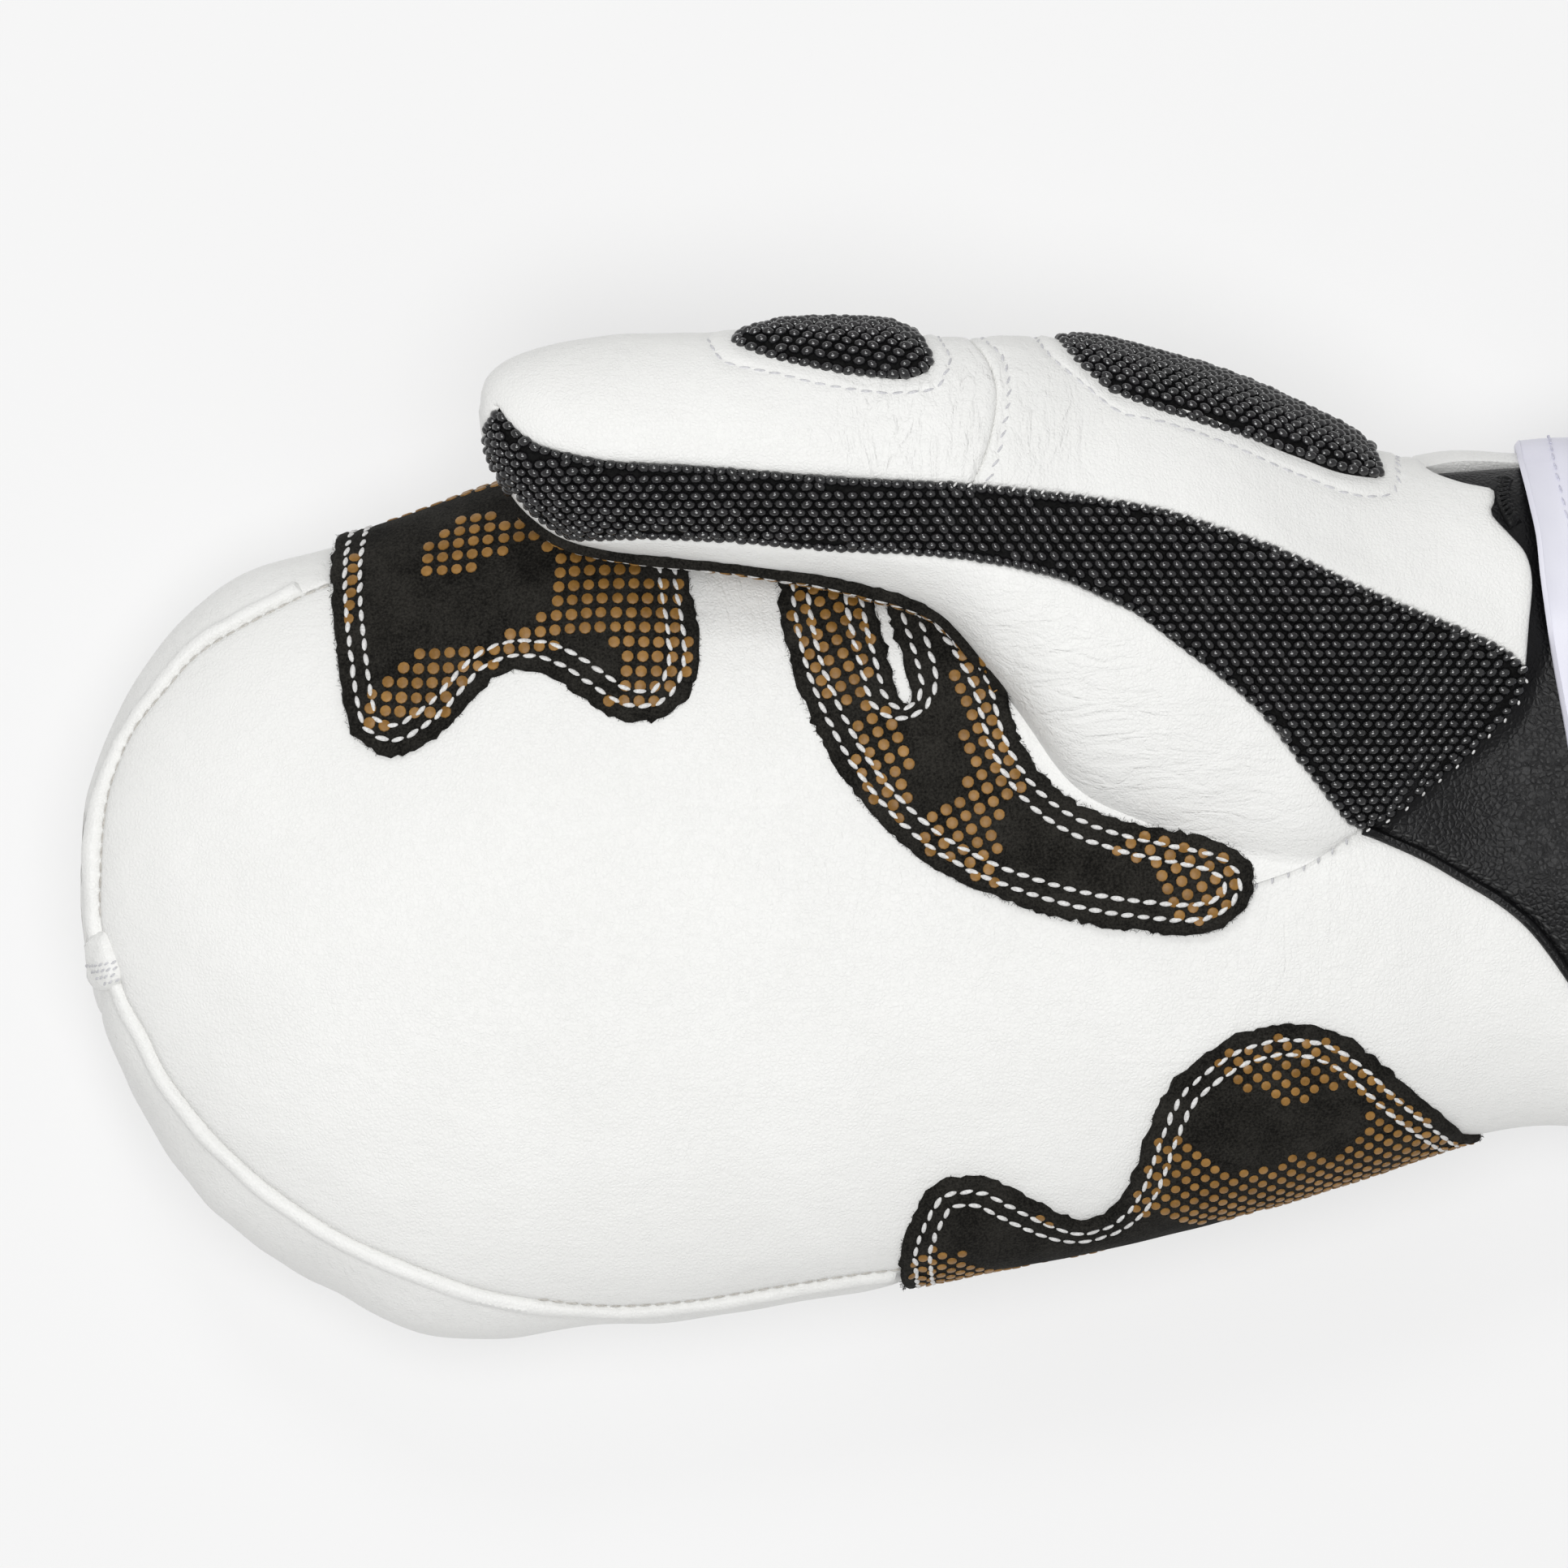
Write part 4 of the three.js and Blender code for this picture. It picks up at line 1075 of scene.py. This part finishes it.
def fibres(name, lay, loops, seed):
    """Loose fibres that stand out of a cut suede edge."""
    rng = np.random.default_rng(seed)
    flats, ways = [], []
    for loop in loops:
        flat, way = even(lay, np.vstack([loop, loop[:1]]), FIBRE_PITCH)
        flats.append(flat + rng.normal(0, 0.12, flat.shape))
        ways.append(way)
    flat, way = np.vstack(flats), np.concatenate(ways)
    shape = bmesh.new()
    bmesh.ops.create_cone(shape, segments=3, radius1=0.055, radius2=0.012, depth=1.0, cap_ends=False)
    bmesh.ops.rotate(shape, matrix=Matrix.Rotation(np.pi / 2, 3, "Y"), verts=shape.verts[:])
    shape.verts.index_update()
    stamp(name, shape, lay, flat, suede, turn=rng.uniform(0, 2 * np.pi, len(flat)),
          tilt=rng.normal(0.15, 0.35, len(flat)), size=rng.uniform(0.3, 1.0, len(flat)), rise=0.12)


over_root = on_thumb(138, 1.5, 3.0, 0.0)
for name, node, skin, loop, holes, settle, turn, pitch, radius, seed in (
        ("index_grip", "index_patch", hand, index_loop, [], None, -0.08, 2.3, 0.95, 61),
        ("crotch_grip", "crotch_patch", hand, crotch_loop, [slot_loop], over_root, 0.4, 2.3, 0.92, 62),
        ("heel_grip", "heel_patch", hand, heel_loop, [], None, 0.75, 2.1, 0.78, 63),
        ("thumb_grip_suede", "thumb_grip", thumb, grip_loop, [], None, 0.2, 2.3, 0.9, 64)):
    lay = panel(name, skin, rough(loop, seed), suede, "black_suede", [node], lift=1.15, thickness=1.1,
                step=1.3, edge=PATCH_EDGE, holes=[rough(hole, seed) for hole in holes], settle=settle,
                relief=lambda flat, place, depth: ripple(place, 9, 65, 0.06))
    lines = [edge_row(loop, -winding(loop) * depth) for depth in STITCH_ROWS]
    lines += [edge_row(hole, winding(hole) * depth) for hole in holes for depth in SLOT_STITCH_ROWS]
    stitches(name + "_stitches", lay, lines, seed=seed)
    dots(name + "_dots", lay, loop, holes, turn, pitch, radius, seed)
    fibres(name + "_fibres", lay, [loop, *holes], seed)


# Stitching on the leather: fine pale thread beside the turned seams, small crossing stitches along
# the insert, and the tack that locks the raised seam at the middle finger.
pale_thread = thread("pale_thread", (0.51, 0.51, 0.53), (0.67, 0.67, 0.69), 0.45)
waxed_thread = thread("waxed_thread", (0.48, 0.46, 0.42), (0.66, 0.64, 0.60), 0.5)
stitches("knuckle_pad_stitches", thumb_tip, [pad_rows[0]], 2.4, 1.75, 0.42, pale_thread, seed=81, rise=0.06)
stitches("base_pad_stitches", thumb_base, pad_rows[1:], 2.4, 1.75, 0.42, pale_thread, seed=82, rise=0.06)
seam_row = beside(hand, tip_seam, -0.75)
stitches("palm_seam_stitches", palm, [seam_row[TIP_SEAM[:, 1] > -15], seam_row[TIP_SEAM[:, 0] > 70]], 2.3, 1.8,
         0.5, waxed_thread, seed=83, rise=0.06, slant=0.15)
bars = [hand.seen(spaced([(2.2 + k, -20.6 - k), (5.8 + 0.2 * k, -20.2 - k)], 0.5)) for k in (0, 0.9, 1.8, 2.7)]
stitches("seam_tack_bars", seam_tack, bars, 1.15, 1.0, 0.4, pale_thread, seed=86, rise=0.05, slant=0.3)
far_top = STRIPE_TOP[STRIPE_TOP[:, 0] > 131]
stitches("insert_side_stitches", stripe, [thumb.seen(shifted(far_top, -0.1))], 2.25, 1.0, 0.38, seed=84, rise=1.05,
         slant=1.0)
stitches("insert_end_stitches", stripe, [thumb.seen(shifted(STRIPE_END, 0.2))], 3.4, 0.85, 0.5, seed=87, rise=1.0,
         slant=0.6)
stitches("thumb_join_stitches", lambda flat: over_root(palm(flat)), [hand.seen(shifted(PALM_JOIN[2:], 0.3))], 2.6,
         1.3, 0.42, pale_thread, seed=85, rise=0.35, slant=1.1)


# Wrist: black grained leather let in between the palm, the end of the thumb and the strap. A black
# piping covers the seam at the palm.
BLACK = leather("black_leather", (0.0055, 0.0055, 0.006), (0.003, 0.003, 0.0035), 1100.0, 0.00007, 0.33,
                shine=0.25)
over_end = on_thumb(221, 0.5, 12.0, 0.7)
WRIST_TOP = spaced([(243, 57.8), (229.5, 57), (206, 55.4)], 2)
wrist_loop = joined(
    wrist_seam,
    hand.seen(spaced([(242.5, -49.5), (243, 57.8)], 2)),
    hand.seen(WRIST_TOP),
    hand.seen(UNDER_THUMB[::-1]),
)
wrist = panel("wrist_leather", hand, wrist_loop, BLACK, "black_leather", ["wrist_panel"], step=1.5,
              settle=over_end, seams=[wrist_seam, hand.seen(WRIST_TOP)],
              relief=lambda flat, place, depth: np.clip(depth / 6, 0, 1) * ripple(place, 26, 71, 0.35))
piping_loop = joined(hand.seen(shifted(WRIST_SEAM, -0.9)), hand.seen(shifted(WRIST_SEAM, 0.9)[::-1]))
PIPING = ([0, 0.2, 0.5, 0.9], [-0.6, 0.45, 0.85, 1.0])
SEAM_END = curve([(220.2, 54.3), (219.6, 52.4), (219.6, 50.4), (220.3, 48.6), (221.6, 46.8)])
seam_end = hand.seen(SEAM_END)
seam_end_loop = joined(beside(hand, seam_end, -1.15), beside(hand, seam_end, 1.15)[::-1])
bound_end = panel("thumb_seam_end", hand, seam_end_loop, BLACK, "black_leather", lift=0.9, step=0.8, edge=WELT,
                  thickness=1.6, settle=over_end)
stitches("thumb_seam_end_ribs", bound_end, [seam_end[1:-1]], 0.9, 2.2, 0.7, BLACK, seed=72,
         rise=0.1, slant=1.57)
dark_thread = thread("black_thread", (0.012, 0.012, 0.012), (0.035, 0.035, 0.035), 0.4)
stitches("wrist_seam_stitches", wrist, [hand.seen(shifted(WRIST_SEAM[2:], -1.75))], 2.0, 1.55, 0.6, dark_thread,
         seed=73, rise=0.2, slant=0.25)
panel("wrist_piping_roll", hand, piping_loop, BLACK, "black_leather", ["wrist_piping"], step=0.8, edge=PIPING,
      thickness=0.6, settle=over_end)


# Wrist strap: a band of black leather right round the wrist, with each edge bound in smooth white
# stretch fabric.
binding = grained("stretch_binding", (0.74, 0.735, 0.83), (0.80, 0.80, 0.88), (1500.0, 2.0), (0.2, 0.45),
                  raised=(0.6, 0.00005), cloud=(60.0, 2.0), share=0.0, spread=(0.3, 0.7))
STRAP_FRONT = curve([
    (219.5, 75), (221.8, 58.2), (223.3, 51), (224.6, 45), (225.2, 39), (226.1, 32.4), (227.1, 25.8), (228.3, 19.2),
    (229.8, 10.5), (233.3, -12), (235.5, -75)])[::-1]


def around_wrist(angle, shift, front=None):
    """Flat coordinates round the glove, at a distance behind a band's front line."""
    if front is None:
        return hand.flat(shift + 0 * angle, angle)
    x = np.full(len(angle), 230.0)
    for _ in range(6):
        y = hand.section(hand.rows_at(np.interp(x, hand.rows[:, 0], hand.w)), angle)[:, 1]
        x = np.interp(y, front[:, 1], front[:, 0]) + shift
    return hand.flat(x, angle)


def hoop(name, section, material, replaces, front=None, around=150, settle=None, relief=None):
    """A closed band round the glove. Its section lists how far each point is from the band's front
    line along the glove, and how far it stands off the form."""
    section = np.asarray(section, float)
    bm = bmesh.new()
    bmesh.ops.create_grid(bm, x_segments=around, y_segments=len(section), size=0.5)
    bm.verts.ensure_lookup_table()
    local = np.array([tuple(v.co.xy) for v in bm.verts]) + 0.5
    angle = local[:, 0] * 2 * np.pi
    row = local[:, 1] * len(section)
    ends = np.vstack([section, section[:1]])
    shift, off = (np.interp(row, np.arange(len(ends)), column) for column in ends.T)
    flat = around_wrist(angle, shift, front)
    if relief is not None:
        off = off + relief(hand.place(flat), local)
    point = hand.lifted(flat, off)
    point = settle(point) if settle is not None else point
    point[:, 2] = np.maximum(point[:, 2], 0.02 + 0.3 * np.clip(off.max() - off, 0, 3))
    for vert, place in zip(bm.verts, point):
        vert.co = place
    bmesh.ops.remove_doubles(bm, verts=bm.verts[:], dist=0.004)
    bmesh.ops.recalc_face_normals(bm, faces=bm.faces[:])
    add_object(name, bm, material, replaces, angle=60)


def strip(start, end, low, high, roll=0.8, rows=4):
    """A flat band's section with rounded edges."""
    across = np.linspace(start + roll, end - roll, rows)
    top = [(x, high) for x in across]
    bottom = [(x, low) for x in across[::-1]]

    def rounded(edge, back):
        return [(edge + back, high - 0.3 * (high - low)), (edge, (low + high) / 2), (edge + back, low + 0.15)]

    return top + rounded(end, -0.3 * roll) + bottom + rounded(start, 0.3 * roll)[::-1]


def round_stitches(name, rows, height, material, front=None, pitch=2.4, length=1.7, width=0.38, seed=90):
    lay = lambda flat: over_end(hand.lifted(flat, height))
    upper_side = np.radians(np.arange(-20, 203, 3.0))
    lines = [around_wrist(upper_side, shift, front) for shift in rows]
    stitches(name, lay, lines, pitch, length, width, material, seed=seed, rise=0.03)


def binding_folds(place, local):
    """Soft puckers across the binding, drawn in where it is sewn."""
    row = local[:, 1] * 14
    top = np.clip(1 - np.abs(row - 1.5) / 3, 0, 1)
    return ripple(place, 16, 81, 0.16) - 0.25 * top * (np.abs(row - 1.5) > 0.8)


hoop("strap_front_edge", strip(0, 9.5, 0.3, 2.1), binding, ["strap_front_binding"], STRAP_FRONT,
     around=220, settle=over_end, relief=binding_folds)
binding_thread = thread("binding_thread", (0.50, 0.50, 0.60), (0.66, 0.66, 0.76), 0.5)
round_stitches("strap_edge_stitches", (5.4,), 2.35, binding_thread, STRAP_FRONT)
round_stitches("strap_band_stitches", (12.0, 28.6), 2.0, dark_thread, STRAP_FRONT, 3.0, 2.2, 0.5, 91)
round_stitches("gauntlet_stitches", (258.0, 271.5, 273.0), 1.2, dark_thread, None, 3.0, 2.2, 0.5, 92)
hoop("strap_band", strip(9.3, 31.2, 0.3, 2.0), BLACK, ["strap_body"], STRAP_FRONT,
     settle=over_end)
hoop("strap_rear_edge", strip(31, 35, 0.3, 2.7), binding, ["strap_rear_binding"], STRAP_FRONT)


# Cuff: a short gauntlet of black leather with a padded rim, open at the wrist, and the lining that
# shows inside it.
lining = grained("lining_fleece", (0.02, 0.02, 0.022), (0.05, 0.05, 0.054), (900.0, 4.0, 0.7), (0.1, 0.85),
                 raised=(1.0, 0.0004), spread=(0.3, 0.7), Sheen_Weight=0.3)
hoop("gauntlet", strip(243.3, 275, -1.4, 1.2, 0.6, 12), BLACK, ["cuff_gauntlet"],
     relief=lambda place, local: ripple(place, 30, 91, 0.25))
hoop("gauntlet_rim", strip(274.4, 279, -2.4, 1.3, 1.4, 3), BLACK, ["cuff_rim"])
hoop("lining", [(x, -2.5) for x in np.linspace(277.5, 6, 40)] + [(x, -3.1) for x in np.linspace(6, 277.5, 40)],
     lining, [], around=60)


# Floor, light and camera: a pale sweep that glows a little, so that the glove stands on plain white, a
# broad lamp above it and a smaller one beyond the thumb. The camera looks straight down.
mesh = bpy.data.meshes.new("floor")
bm = bmesh.new()
bmesh.ops.create_grid(bm, x_segments=1, y_segments=1, size=3)
bm.to_mesh(mesh)
bm.free()
floor = bpy.data.objects.new("floor", mesh)
bpy.context.collection.objects.link(floor)
mesh.materials.append(new_material("floor", Roughness=0.9, Specular_IOR_Level=0.1, Emission_Strength=1.0,
                                   Base_Color=(0.36, 0.36, 0.36, 1), Emission_Color=(0.54, 0.54, 0.54, 1))[0])

world = bpy.data.worlds.new("studio")
world.use_nodes = True
world.node_tree.nodes["Background"].inputs[0].default_value = (1, 1, 1, 1)
world.node_tree.nodes["Background"].inputs[1].default_value = 0.44
bpy.context.scene.world = world


def lamp(name, place, aim, size, power):
    light = bpy.data.lights.new(name, "AREA")
    light.shape = "DISK"
    light.size = size
    light.energy = power
    obj = bpy.data.objects.new(name, light)
    bpy.context.collection.objects.link(obj)
    obj.location = place
    obj.rotation_euler = (Vector(aim) - Vector(place)).to_track_quat("-Z", "Y").to_euler()
    obj.visible_camera = False


lamp("overhead", (-0.1, -0.06, 1.5), (0, 0, 0), 0.95, 12.9)
lamp("window", (-0.25, 0.95, 1.15), (0, 0, 0), 0.35, 2.6)

CAMERA_HEIGHT = 5.0
SENSOR = 36
FRAME_WIDTH = 0.2415                # of the picture, at the height of the palm
FOCUS_HEIGHT = 0.045
FRAME_MIDDLE = (108.75, 7.25)       # on the pattern
camera = bpy.data.cameras.new("camera")
camera.sensor_width = SENSOR
camera.lens = SENSOR * (CAMERA_HEIGHT - FOCUS_HEIGHT) / FRAME_WIDTH
camera.clip_end = 20
camera_object = bpy.data.objects.new("camera", camera)
bpy.context.collection.objects.link(camera_object)
camera_object.location = (*((np.array(FRAME_MIDDLE) - ORIGIN[:2]) / 1000), CAMERA_HEIGHT)
bpy.context.scene.camera = camera_object
bpy.context.scene.view_settings.view_transform = "Standard"
